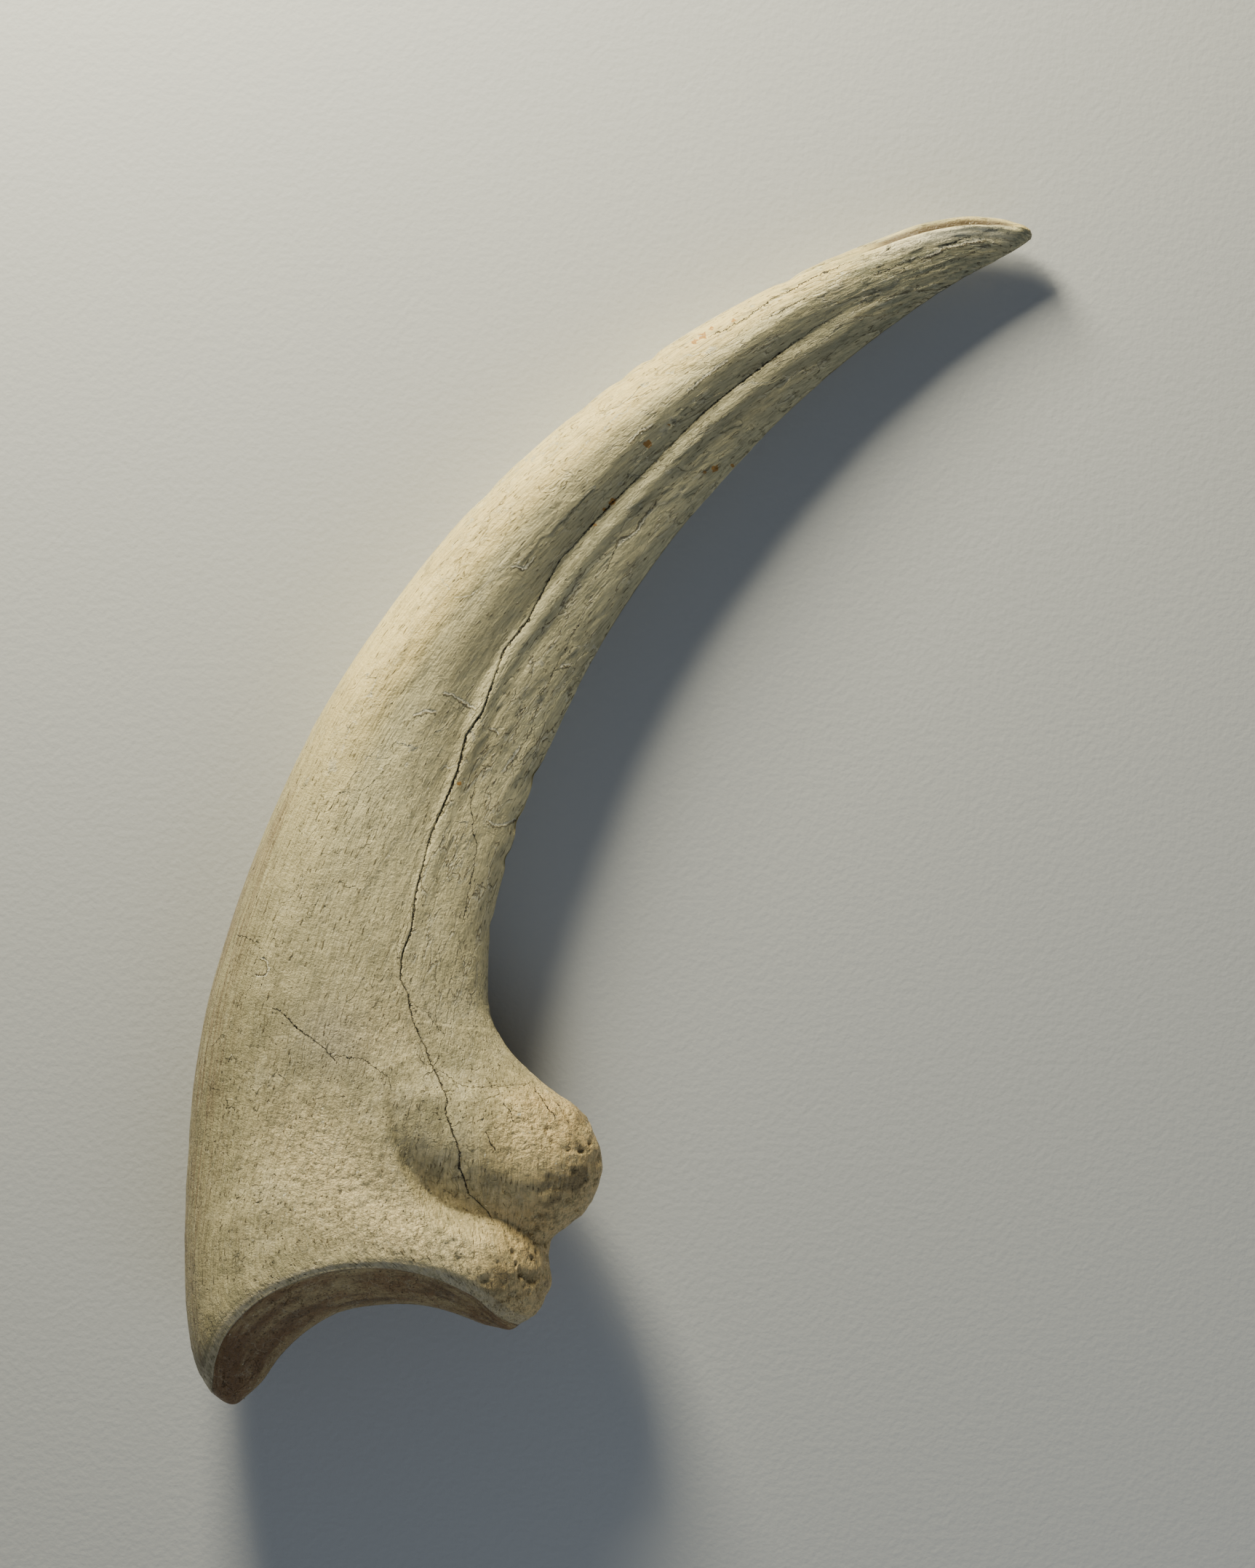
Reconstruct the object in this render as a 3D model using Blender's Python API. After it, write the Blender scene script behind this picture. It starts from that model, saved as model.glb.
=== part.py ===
"""The claw bone of a large meat-eating dinosaur, a fossil, lying on its side.

It is one solid bone: a long curved blade, a deep joint end with a hollow face and a
keel down the middle of it, and a round heel on the inside of the curve, where the
tendon that pulled the claw down was tied. A groove runs along each side.

The bone is drawn flat first, in a plane of its own: x and y lie in the plane that the
claw curves in, and z is across its thickness. It is then turned a little, to the way
that it comes to rest on its side. Shapes are in millimetres, and the mesh in metres.
"""

import math

import bmesh
import bpy
import numpy as np

MM = 0.001
SAME_PLACE = 0.000002  # points closer than this, in metres, are one

# The side outline. Each row is a station: its distance along the claw from the joint,
# the point on the back (outer) edge, and the point on the inner edge.
BACK_EDGE = (
    (0, -66.0, 1.2),
    (4, -68.2, 5.0),
    (10, -69.7, 11.6),
    (20, -70.4, 25.8),
    (32, -69.9, 41.0),
    (44, -68.6, 55.2),
    (52, -66.4, 66.8),
    (60, -62.8, 79.0),
    (83, -50.4, 108.8),
    (107, -35.7, 132.0),
    (134, -17.8, 152.5),
    (165, 7.2, 172.9),
    (190, 28.2, 184.9),
    (206, 43.8, 191.9),
    (214, 52.7, 194.9),
    (220, 61.0, 195.8),
    (223.6, 66.4, 195.0),
    (225.3, 68.9, 193.9),
    (226, 69.8, 192.6),
)
INNER_EDGE = (
    (0, -15.0, 12.4),
    (4, -12.0, 14.4),
    (8, -10.0, 18.4),
    (13, -9.8, 22.6),
    (17, -9.9, 26.2),
    (21, -6.6, 28.8),
    (25, -3.6, 31.6),
    (31, -1.3, 38.4),
    (36, -2.4, 43.6),
    (40, -4.5, 47.8),
    (44, -9.2, 51.0),
    (50, -16.0, 56.8),
    (56, -19.7, 63.0),
    (64, -20.1, 72.4),
    (83, -16.0, 92.0),
    (107, -6.9, 114.7),
    (134, 7.1, 137.8),
    (165, 27.1, 161.0),
    (190, 44.1, 175.6),
    (206, 54.5, 182.9),
    (214, 59.4, 185.9),
    (220, 64.4, 188.6),
    (223.6, 67.7, 190.4),
    (225.3, 69.2, 191.5),
    (226, 69.8, 192.6),
)
TIP = 226

# Half of the thickness at the highest line of each station.
HALF_THICKNESS = (
    (0, 16.0),
    (6, 15.6),
    (16, 14.8),
    (28, 14.1),
    (40, 13.4),
    (60, 12.2),
    (83, 11.0),
    (107, 10.0),
    (134, 8.8),
    (165, 7.2),
    (190, 5.6),
    (206, 4.3),
    (214, 3.6),
    (220, 2.8),
    (223.6, 2.0),
    (225.3, 1.2),
    (226, 0.0),
)
# Where that highest line lies, as a share of the way from the back to the inner edge.
CREST = (
    (0, 0.50),
    (30, 0.46),
    (55, 0.36),
    (70, 0.30),
    (85, 0.25),
    (115, 0.26),
    (145, 0.30),
    (175, 0.36),
    (226, 0.38),
)
# Two powers for each kind of section: the oval of the joint end, and the drop of the
# blade, on its round back and on the long slope of its side.
OVAL = (2.5, 0.5)
BACK_OF_DROP = (2.0, 0.5)
SIDE_OF_DROP = (1.3, 0.8)
DROP_STATIONS = (35, 95)  # the oval turns into the drop over these
TIP_SIDESTEP = -3.0  # the tip leans this far out of the claw's plane

# The joint face. Its rim is a hollow arc from the lip on the back edge to the lip on
# the inner edge, and the keel stands out beyond the rim, half way across the face.
RIM = (
    (-66.0, 1.2),
    (-65.4, 3.4),
    (-64.4, 7.6),
    (-62.5, 12.0),
    (-58.7, 16.3),
    (-50.6, 20.9),
    (-40.4, 22.9),
    (-29.6, 21.6),
    (-22.6, 18.2),
    (-18.0, 14.2),
    (-15.0, 12.4),
)
KEEL = (
    (-60.4, 0.2),
    (-57.6, 2.8),
    (-54.6, 7.0),
    (-50.2, 11.2),
    (-44.6, 14.4),
    (-37.6, 15.6),
    (-30.0, 15.3),
    (-24.2, 13.6),
    (-20.4, 12.2),
    (-18.4, 11.9),
)
RIM_REACH = (0, 50)  # over these stations the arc of the rim fades from the sections
LIP_BULGE = 1.6  # the lips round out this far between the rim and the keel
INNER_LIP_BULGE = 0.7
FACE_HOLLOW = 0.22  # depth of the hollow beside the keel, as a share of its height

# The groove of the claw's blood vessel, from near the tip back to the joint end: a
# point, and the depth there. A broad wall on the back side leads down to it, and past
# it the surface rises to a ledge, which sinks away towards the inner edge.
VESSEL_GROOVE = (
    (47.0, 184.2, 0.0),
    (33.3, 175.9, 0.6),
    (18.8, 165.4, 0.95),
    (4.0, 151.2, 1.1),
    (-8.9, 136.0, 1.05),
    (-17.9, 124.0, 0.9),
    (-24.7, 109.4, 0.75),
    (-30.6, 92.0, 0.5),
    (-36.2, 72.0, 0.2),
    (-37.0, 62.0, 0.0),
)
GROOVE_BACK_WALL = 5.4  # width of the wall on the back side
GROOVE_POWER = 1.2
GROOVE_STEEP_WALL = 1.5  # width of the rise to the ledge
LEDGE = (0.4, 3.5, 12.0)  # its share of the groove's depth, and where it sinks away

# The hollow between the joint end and the heel, which runs out at the notch between: a
# point, the depth there, and the widths of its wall on the back side and on the other.
HEEL_HOLLOW = (
    (-36.8, 56.0, 0.0, 1.5, 5.0),
    (-34.6, 45.4, 2.2, 1.8, 9.0),
    (-32.5, 39.8, 3.2, 2.2, 10.0),
    (-29.7, 35.5, 3.9, 2.8, 10.0),
    (-26.8, 32.8, 4.1, 3.4, 9.6),
    (-23.6, 31.6, 4.0, 3.8, 9.0),
    (-18.6, 30.4, 3.4, 3.8, 8.0),
    (-13.8, 28.6, 2.6, 3.4, 7.0),
    (-9.0, 26.4, 1.4, 3.0, 6.0),
)
HOLLOW_POWER = 1.5
HEEL_STATIONS = (8, 26, 44, 60)  # the heel swells, stays and sinks over these
HEEL_THINNER = 0.20  # the heel is this share thinner than the joint end
# The heel's sides swell by two low rises: a place, a radius and a height.
HEEL_SWELLS = (
    ((-13.0, 40.0), 8.0, 1.1),
    ((-8.0, 34.0), 6.0, 0.7),
)
# A low ridge along the rim of the joint face: a point, and the height there.
JOINT_RIDGE = (
    (-44.0, 40.0, 0.0),
    (-38.0, 34.0, 0.5),
    (-31.6, 29.0, 0.9),
    (-25.2, 25.6, 1.0),
    (-18.6, 22.6, 0.8),
    (-13.0, 20.0, 0.3),
)
JOINT_RIDGE_WIDTH = 3.6

# The open split along the back of the tip.
TIP_SPLIT = (
    (34.0, 187.6, 0.0),
    (44.0, 191.6, 0.7),
    (54.0, 194.4, 1.2),
    (62.0, 194.6, 1.1),
    (67.4, 193.4, 0.0),
)
SPLIT_WIDTH = 0.9

# How the bone lies: its tip turned down about X, then its back edge about Y. Where it
# touches the surface it is worn flat by a hair, so that it lies without rocking.
REST_PITCH = math.radians(-3.09)
REST_ROLL = math.radians(-0.67)
WORN_FLAT = 0.4

FACE_ROWS = 8
BLADE_ROWS = (27, 29, 13)  # over the joint end and heel, the blade and the tip
BLADE_STARTS = (0, 60, 200)
AROUND = 64
ON_THE_SIDES = 0.42  # the sides get this share more points than the edges

BONE_COLOUR = (0.56, 0.48, 0.33, 1.0)
BONE_ROUGHNESS = 0.62


def smooth_through(knots, values, at):
    """A smooth curve through the values at the knots, read at the places in at.

    Each span is a cubic whose slopes at its ends come from the points on both sides.
    """
    knots = np.asarray(knots, float)
    values = np.asarray(values, float)
    slopes = np.gradient(values, knots, axis=0)
    span = np.clip(np.searchsorted(knots, at, side="right") - 1, 0, len(knots) - 2)
    width = (knots[span + 1] - knots[span])[..., None]
    t = np.clip((at - knots[span])[..., None] / width, 0.0, 1.0)
    start = (1 + 2 * t) * (1 - t) ** 2
    lean_out = t * (1 - t) ** 2 * width
    end = t * t * (3 - 2 * t)
    lean_in = t * t * (t - 1) * width
    return (
        start * values[span]
        + lean_out * slopes[span]
        + end * values[span + 1]
        + lean_in * slopes[span + 1]
    )


def at_stations(table, at):
    """Reads a table of stations, as smooth columns, at the given distances."""
    table = np.array(table, float)
    return smooth_through(table[:, 0], table[:, 1:], at)


def along_points(points, share):
    """Points of a smooth curve through a list, at shares 0 to 1 of its length."""
    points = np.array(points, float)
    steps = np.linalg.norm(np.diff(points[:, :2], axis=0), axis=1)
    lengths = np.concatenate(([0.0], np.cumsum(steps)))
    return smooth_through(lengths / lengths[-1], points, share)


def fade(value, low, high):
    """0 below low, 1 above high, and an even S between them."""
    t = np.clip((value - low) / (high - low), 0.0, 1.0)
    return t * t * (3 - 2 * t)


def half_section(angle):
    """How far across the depth a point is, 0 on the back edge to 1 on the inner."""
    return (1 - np.cos(angle)) / 2


def height_share(across, stations):
    """The share of the half thickness that a place across the section has.

    With w the way from the highest line to the nearer edge, 0 to 1, the share is
    (1 - w to the power a) to the power b. Both powers are the same on the two halves
    of the oval at the joint, and become different ones on the two halves of the drop.
    """
    crest = at_stations(CREST, stations)
    on_back = across < crest
    way = np.where(on_back, 1 - across / crest, (across - crest) / (1 - crest))
    drop = fade(stations, *DROP_STATIONS)[:, None]
    powers = [
        oval + drop * (np.where(on_back, back, side) - oval)
        for oval, back, side in zip(OVAL, BACK_OF_DROP, SIDE_OF_DROP)
    ]
    return (1 - way.clip(0, 1) ** powers[0]) ** powers[1]


def blade_points(stations, angle):
    """The flat places and heights of the sections from the rim to the tip.

    A section runs from the back edge (angle 0) over the near side to the inner edge
    (half a turn) and back over the far side. Near the joint its middle is pulled
    towards the arc of the rim.
    """
    across = half_section(angle)[None, :, None]
    back = at_stations(BACK_EDGE, stations)[:, None, :]
    inner = at_stations(INNER_EDGE, stations)[:, None, :]
    rim = along_points(RIM, across[0, :, 0])[None]
    rim_line = (1 - across) * np.array(RIM[0]) + across * np.array(RIM[-1])
    pull = (1 - fade(stations, *RIM_REACH))[:, None, None]
    flat = (1 - across) * back + across * inner + pull * (rim - rim_line)

    half = at_stations(HALF_THICKNESS, stations)
    share = height_share(across[0, :, 0][None], stations)
    height = half * np.sign(np.sin(angle))[None] * share
    swell, full, sink, gone = HEEL_STATIONS
    heel = fade(stations, swell, full) * (1 - fade(stations, sink, gone))
    thinner = HEEL_THINNER * heel[:, None] * fade(across[0, :, 0], 0.5, 0.8)[None]
    return flat, height * (1 - thinner)


def face_points(rim_flat, rim_height, angle):
    """The rows of the joint face, from the keel out to the rim.

    Going in from the rim the face first dips, and then climbs to the keel, where the
    near and far halves meet. The ends of the rows round the two lips.
    """
    across = half_section(angle)
    keel = along_points(KEEL, across)
    inward = np.linspace(1.0, 0.0, FACE_ROWS, endpoint=False)[:, None]
    climb = fade(inward, 0.0, 1.0) - FACE_HOLLOW * np.sin(np.pi * inward)
    edge = np.abs(np.cos(angle))[None] ** 6
    climb = climb * (1 - edge) + inward * edge
    flat = rim_flat + climb[..., None] * (keel - rim_flat)
    out = np.array((0.26, -0.97))
    bulge = np.where(across < 0.5, LIP_BULGE, INNER_LIP_BULGE)
    flat += (bulge * edge * np.sin(np.pi * inward))[..., None] * out
    height = rim_height * (1 - inward) ** 0.8
    return flat, height


def beside_path(flat, path):
    """For each flat point: the path's values there, and how far to its left it is.

    The path's points are joined by a smooth curve, read off as short straight pieces;
    each flat point is measured to the piece nearest to it. A path that runs towards
    the joint has the inner edge on its left.
    """
    line = along_points(path, np.linspace(0, 1, 60))
    start, step = line[:-1, :2], np.diff(line[:, :2], axis=0)
    offset = flat[..., None, :] - start
    along = np.clip((offset * step).sum(-1) / (step**2).sum(-1), 0.0, 1.0)
    away = offset - along[..., None] * step
    distance = np.linalg.norm(away, axis=-1)
    nearest = distance.argmin(-1)[..., None]
    turn = step[:, 0] * away[..., 1] - step[:, 1] * away[..., 0]
    left = np.take_along_axis(np.where(turn > 0, distance, -distance), nearest, -1)
    place = (nearest + np.take_along_axis(along, nearest, -1)) / len(step)
    return along_points(path, place[..., 0])[..., 2:], left[..., 0]


def bell(away, width):
    """1 in the middle, falling like a bell of that width."""
    return np.exp(-((away / width) ** 2))


def grooves(flat, height, angle):
    """How far the surface is worn in along its normals: the groove and the split.

    On its back side the groove is a straight ramp raised to a power; past its floor it
    is a bell that ends on the ledge.
    """
    value, left = beside_path(flat, VESSEL_GROOVE)
    share, sinks, sunk = LEDGE
    ramp = np.clip(1 + left / GROOVE_BACK_WALL, 0, 1) ** GROOVE_POWER
    ledge = share * (1 - fade(left, sinks, sunk))
    ledge += (1 - share) * bell(left, GROOVE_STEEP_WALL)
    groove = value[..., 0] * np.where(left < 0, ramp, ledge)
    side = np.abs(np.sin(angle)) ** 0.5
    split, off = beside_path(flat, TIP_SPLIT)
    near_side = fade(height, -0.6, 0.6)
    return groove * side + split[..., 0] * bell(off, SPLIT_WIDTH) * near_side


def pressed(flat, height, angle):
    """Heights with the hollow pressed in and the ridge and the heel raised, all of
    them straight up and down, on both sides."""
    value, left = beside_path(flat, HEEL_HOLLOW)
    wall = np.where(left > 0, value[..., 2], value[..., 1]).clip(1)
    hollow = value[..., 0] * np.clip(1 - np.abs(left) / wall, 0, 1) ** HOLLOW_POWER
    ridge, off = beside_path(flat, JOINT_RIDGE)
    rise = ridge[..., 0] * bell(off, JOINT_RIDGE_WIDTH) - hollow
    for place, radius, swell in HEEL_SWELLS:
        rise += swell * bell(np.linalg.norm(flat - np.array(place), axis=-1), radius)
    return height + np.sign(height) * rise * np.abs(np.sin(angle)) ** 0.5


def outward(points):
    """Unit normals of a grid of rings, from the steps along it and around it."""
    along = np.gradient(points, axis=0)
    around = np.roll(points, -1, axis=1) - np.roll(points, 1, axis=1)
    normal = np.cross(around, along)
    return normal / np.maximum(np.linalg.norm(normal, axis=-1, keepdims=True), 1e-9)


def row_stations():
    """Where the rows lie: evenly spread on each stretch, and closing up at the tip."""
    base, blade, tip = BLADE_STARTS
    base_rows, blade_rows, tip_rows = BLADE_ROWS
    closing = np.sin(np.linspace(0, math.pi / 2, tip_rows))
    return np.concatenate(
        (
            np.linspace(base, blade, base_rows, endpoint=False),
            np.linspace(blade, tip, blade_rows, endpoint=False),
            tip + (TIP - tip) * closing,
        )
    )


def claw_rings():
    """The whole surface as rings of points, from the keel to the tip."""
    angle = np.arange(AROUND) * 2 * math.pi / AROUND
    angle += ON_THE_SIDES * np.sin(2 * angle) / 2
    stations = row_stations()
    flat, height = blade_points(stations, angle)
    face_flat, face_height = face_points(flat[0], height[0], angle)
    flat = np.concatenate((face_flat, flat))
    height = np.concatenate((face_height, height))
    lean = TIP_SIDESTEP * np.concatenate((np.zeros(FACE_ROWS), stations / TIP)) ** 2
    sink = grooves(flat, height, angle)
    sink[:FACE_ROWS] = 0.0
    height[FACE_ROWS:] = pressed(flat[FACE_ROWS:], height[FACE_ROWS:], angle)
    rings = np.concatenate((flat, (height + lean[:, None])[..., None]), axis=-1)
    return rings - outward(rings) * sink[..., None]


def laid_down(points):
    """Turns the bone to the way it rests and puts it on z = 0 over the origin."""
    pitch = np.array(
        (
            (1, 0, 0),
            (0, math.cos(REST_PITCH), -math.sin(REST_PITCH)),
            (0, math.sin(REST_PITCH), math.cos(REST_PITCH)),
        )
    )
    roll = np.array(
        (
            (math.cos(REST_ROLL), 0, math.sin(REST_ROLL)),
            (0, 1, 0),
            (-math.sin(REST_ROLL), 0, math.cos(REST_ROLL)),
        )
    )
    points = points @ (roll @ pitch).T
    low, high = points.reshape(-1, 3).min(0), points.reshape(-1, 3).max(0)
    points = points - (low * (0.5, 0.5, 1) + high * (0.5, 0.5, 0))
    points[..., 2] = np.maximum(points[..., 2] - WORN_FLAT, 0.0)
    return points


def skinned(rings, name):
    """A closed mesh over rings of points: a quad between each four neighbours.

    The first ring lies double along the keel and the last is a single place at the
    tip, so the points that coincide are joined and the faces between them dropped.
    """
    rows, around = rings.shape[:2]
    row = np.arange(rows - 1)[:, None] * around
    here = np.arange(around)[None]
    after = (here + 1) % around
    quads = np.stack(
        (row + here, row + around + here, row + around + after, row + after), -1
    )
    mesh = bpy.data.meshes.new(name)
    mesh.from_pydata(rings.reshape(-1, 3).tolist(), [], quads.reshape(-1, 4).tolist())
    joined = bmesh.new()
    joined.from_mesh(mesh)
    bmesh.ops.remove_doubles(joined, verts=joined.verts, dist=SAME_PLACE)
    bmesh.ops.recalc_face_normals(joined, faces=joined.faces)
    joined.to_mesh(mesh)
    joined.free()
    return mesh


def bone_material():
    material = bpy.data.materials.new("fossil_bone")
    material.use_nodes = True
    finish = material.node_tree.nodes["Principled BSDF"]
    finish.inputs["Base Color"].default_value = BONE_COLOUR
    finish.inputs["Roughness"].default_value = BONE_ROUGHNESS
    finish.inputs["Metallic"].default_value = 0.0
    return material


def main():
    for old in list(bpy.data.objects):
        bpy.data.objects.remove(old)
    collection = bpy.data.collections.new("fossil_claw")
    bpy.context.scene.collection.children.link(collection)

    mesh = skinned(laid_down(claw_rings()) * MM, "claw")
    mesh.shade_smooth()
    mesh.materials.append(bone_material())
    collection.objects.link(bpy.data.objects.new("claw", mesh))


if __name__ == "__main__":
    main()
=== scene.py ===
# %% [markdown]
# # A fossil claw bone, lying on its side
#
# This is the core of a claw: the bone that sat inside the horn of a large meat-eating
# dinosaur. It is one solid bone, so it is one piece here. The solid that carries it in
# the frame has its size and its main forms. What is added is what makes it look old
# and real: the sharp groove of the blood vessel, the long crack, layers that flake,
# pores along the grain, the worn joint face, and the colours of mineral and soil.
#
# The frame is loaded first, and its box kept, because the finished bone has to stay
# inside it.

# %% load the frame
import itertools
import math

import bpy
import numpy as np
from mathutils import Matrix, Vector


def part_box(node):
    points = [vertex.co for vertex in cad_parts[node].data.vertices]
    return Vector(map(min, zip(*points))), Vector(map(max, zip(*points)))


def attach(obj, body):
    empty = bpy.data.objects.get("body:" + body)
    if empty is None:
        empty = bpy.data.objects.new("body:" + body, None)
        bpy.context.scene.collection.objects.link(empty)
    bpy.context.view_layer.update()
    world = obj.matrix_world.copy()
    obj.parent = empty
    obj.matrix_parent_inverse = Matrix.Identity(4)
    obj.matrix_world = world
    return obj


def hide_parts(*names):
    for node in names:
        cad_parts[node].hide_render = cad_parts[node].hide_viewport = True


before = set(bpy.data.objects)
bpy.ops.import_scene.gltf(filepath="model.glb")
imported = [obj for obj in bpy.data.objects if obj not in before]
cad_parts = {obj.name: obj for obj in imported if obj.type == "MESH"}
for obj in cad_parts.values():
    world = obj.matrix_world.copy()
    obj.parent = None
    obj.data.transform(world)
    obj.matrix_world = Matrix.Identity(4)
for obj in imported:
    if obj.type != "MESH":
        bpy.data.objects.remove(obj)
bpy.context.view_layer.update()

MM = 0.001

# %% [markdown]
# ## The side outline
#
# Seen from its side a claw bone is a tapering crescent. It could be sculpted, but a
# table of stations says more: at each distance from the joint, one point lies on the
# back edge and one on the inner edge. A smooth curve runs through each list. All the
# numbers are millimetres, in a plane of the claw's own: x and y lie in the plane that
# the claw curves in, and z is across its thickness.

# %% stations of the back edge and the inner edge
BACK_EDGE = (
    (0, -66.0, 1.2), (4, -68.2, 5.0), (10, -69.7, 11.6), (20, -70.4, 25.8),
    (32, -69.9, 41.0), (44, -68.6, 55.2), (52, -66.4, 66.8), (60, -62.8, 79.0),
    (83, -50.4, 108.8), (107, -35.7, 132.0), (134, -17.8, 152.5), (165, 7.2, 172.9),
    (190, 28.2, 184.9), (206, 43.8, 191.9), (214, 52.7, 194.9), (220, 61.0, 195.8),
    (223.6, 66.4, 195.0), (225.3, 68.9, 193.9), (225.8, 69.55, 193.3), (226, 69.8, 192.65),
)
INNER_EDGE = (
    (0, -15.0, 12.4), (4, -12.0, 14.4), (8, -10.0, 18.4), (13, -9.8, 22.6),
    (17, -9.9, 26.2), (21, -6.6, 28.8), (25, -3.6, 31.6), (31, -1.3, 38.4),
    (36, -2.4, 43.6), (40, -4.5, 47.8), (44, -9.2, 51.0), (50, -16.0, 56.8),
    (56, -19.7, 63.0), (64, -20.1, 72.4), (83, -16.0, 92.0), (107, -6.9, 114.7),
    (134, 7.1, 137.8), (165, 27.1, 161.0), (190, 44.1, 175.6), (206, 54.5, 182.9),
    (214, 59.4, 185.9), (220, 64.4, 188.6), (223.6, 67.7, 190.4),
    (225.3, 69.2, 191.5), (225.8, 69.7, 192.0), (226, 69.8, 192.65),
)
TIP = 226


def smooth_through(knots, values, at):
    """A smooth curve through the values at the knots, read at the places in at.

    Each span is a cubic. Its slopes at its ends come from the points on both sides.
    """
    knots = np.asarray(knots, float)
    values = np.asarray(values, float)
    slopes = np.gradient(values, knots, axis=0)
    span = np.clip(np.searchsorted(knots, at, side="right") - 1, 0, len(knots) - 2)
    width = (knots[span + 1] - knots[span])[..., None]
    t = np.clip((at - knots[span])[..., None] / width, 0.0, 1.0)
    start = (1 + 2 * t) * (1 - t) ** 2
    lean_out = t * (1 - t) ** 2 * width
    end = t * t * (3 - 2 * t)
    lean_in = t * t * (t - 1) * width
    return (
        start * values[span] + lean_out * slopes[span]
        + end * values[span + 1] + lean_in * slopes[span + 1]
    )


def at_stations(table, at):
    """Reads a table of stations, as smooth columns, at the given distances."""
    table = np.array(table, float)
    return smooth_through(table[:, 0], table[:, 1:], at)


def along_points(points, share, smooth=True):
    """Points of a curve through a list, at shares 0 to 1 of its length."""
    points = np.array(points, float)
    steps = np.linalg.norm(np.diff(points[:, :2], axis=0), axis=1)
    lengths = np.concatenate(([0.0], np.cumsum(steps)))
    if smooth:
        return smooth_through(lengths / lengths[-1], points, share)
    columns = [np.interp(share, lengths / lengths[-1], column) for column in points.T]
    return np.stack(columns, -1)


def fade(value, low, high):
    """0 below low, 1 above high, and an even S between them."""
    t = np.clip((value - low) / (high - low), 0.0, 1.0)
    return t * t * (3 - 2 * t)


def hump(value, low, high, edge):
    """1 between low and high, fading to 0 over edge outside them."""
    return fade(value, low - edge, low) * (1 - fade(value, high, high + edge))


print("stations:", len(BACK_EDGE), "on the back and", len(INNER_EDGE), "on the inside")

# %% [markdown]
# ## Sections, from the joint to the tip
#
# Cut across, the joint end is a squared oval, but the blade is more like a drop: its
# highest line lies near the round back, and from there the side falls in a long even
# slope to the thin inner edge. So a point of the surface has two numbers, its station
# and its angle around the section. Angle 0 is the back edge, half a turn is the inner
# edge, and the side that lies up comes between them. The heel, where the tendon was
# tied, is thinner than the joint end beside it.

# %% thickness and sections
HALF_THICKNESS = (
    (0, 16.0), (6, 15.6), (16, 14.8), (28, 14.1), (40, 13.4), (60, 12.2), (83, 11.0),
    (107, 10.0), (134, 8.8), (165, 7.2), (190, 5.6), (206, 4.3), (214, 3.6),
    (220, 2.8), (223.6, 2.2), (225.3, 1.3), (225.8, 0.7), (226, 0.0),
)
CREST = (
    (0, 0.50), (30, 0.46), (55, 0.36), (70, 0.30), (85, 0.25), (115, 0.26),
    (145, 0.30), (175, 0.35), (200, 0.30), (226, 0.26),
)
OVAL = (2.5, 0.5)
BACK_OF_DROP = (2.0, 0.5)
SIDE_OF_DROP = (1.3, 0.8)
DROP_STATIONS = (35, 95)
RIM = (
    (-66.0, 1.2), (-65.4, 3.4), (-64.4, 7.6), (-62.5, 12.0), (-58.7, 16.3),
    (-50.6, 20.9), (-40.4, 22.9), (-29.6, 21.6), (-22.6, 18.2), (-18.0, 14.2),
    (-15.0, 12.4),
)
RIM_REACH = (0, 50)
HEEL_STATIONS = (8, 26, 44, 60)
HEEL_THINNER = 0.20


def across_share(angle):
    """How far across the depth a point is, 0 on the back edge to 1 on the inner."""
    return (1 - np.cos(angle)) / 2


def depth_of(stations):
    """The distance from the back edge to the inner edge at each station."""
    span = at_stations(INNER_EDGE, stations) - at_stations(BACK_EDGE, stations)
    return np.linalg.norm(span, axis=-1)


def height_share(across, stations):
    """The share of the half thickness that a place across the section has.

    With w the way from the highest line to the nearer edge, 0 to 1, the share is
    (1 - w to the power a) to the power b. Both are the same on the two halves of the
    oval at the joint, and become different ones on the two halves of the drop.
    """
    crest = at_stations(CREST, stations)
    on_back = across < crest
    way = np.where(on_back, 1 - across / crest, (across - crest) / (1 - crest)).clip(0, 1)
    drop = fade(stations, *DROP_STATIONS)[:, None]
    powers = [
        oval + drop * (np.where(on_back, back, side) - oval)
        for oval, back, side in zip(OVAL, BACK_OF_DROP, SIDE_OF_DROP)
    ]
    return (1 - way ** powers[0]) ** powers[1]


def blade_points(stations, angle):
    """Flat places and heights of the sections: one row a station, one column an angle.

    The place goes straight across from the back edge to the inner edge, pulled towards
    the arc of the rim near the joint. The height is a share of half the thickness,
    up on one side and down on the other.
    """
    across = across_share(angle)[..., None]
    back = at_stations(BACK_EDGE, stations)[:, None, :]
    inner = at_stations(INNER_EDGE, stations)[:, None, :]
    rim = along_points(RIM, across[..., 0])
    rim_line = (1 - across) * np.array(RIM[0]) + across * np.array(RIM[-1])
    pull = (1 - fade(stations, *RIM_REACH))[:, None, None]
    flat = (1 - across) * back + across * inner + pull * (rim - rim_line)

    half = at_stations(HALF_THICKNESS, stations)
    height = half * np.sign(np.sin(angle)) * height_share(across[..., 0], stations)
    swell, full, sink, gone = HEEL_STATIONS
    heel = fade(stations, swell, full) * (1 - fade(stations, sink, gone))
    thinner = HEEL_THINNER * heel[:, None] * fade(across[..., 0], 0.5, 0.8)
    return flat, height * (1 - thinner)


# %% [markdown]
# ## Rows and columns
#
# A regular grid would cut the long crack into steps, because the crack wanders over
# it. So the columns are laid to suit: one bunch of eight always follows the crack, and
# the others share out what is left on both sides of it. The side that lies down gets
# fewer columns. Rows are closest where the bone ends, at the joint and at the tip.

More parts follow.
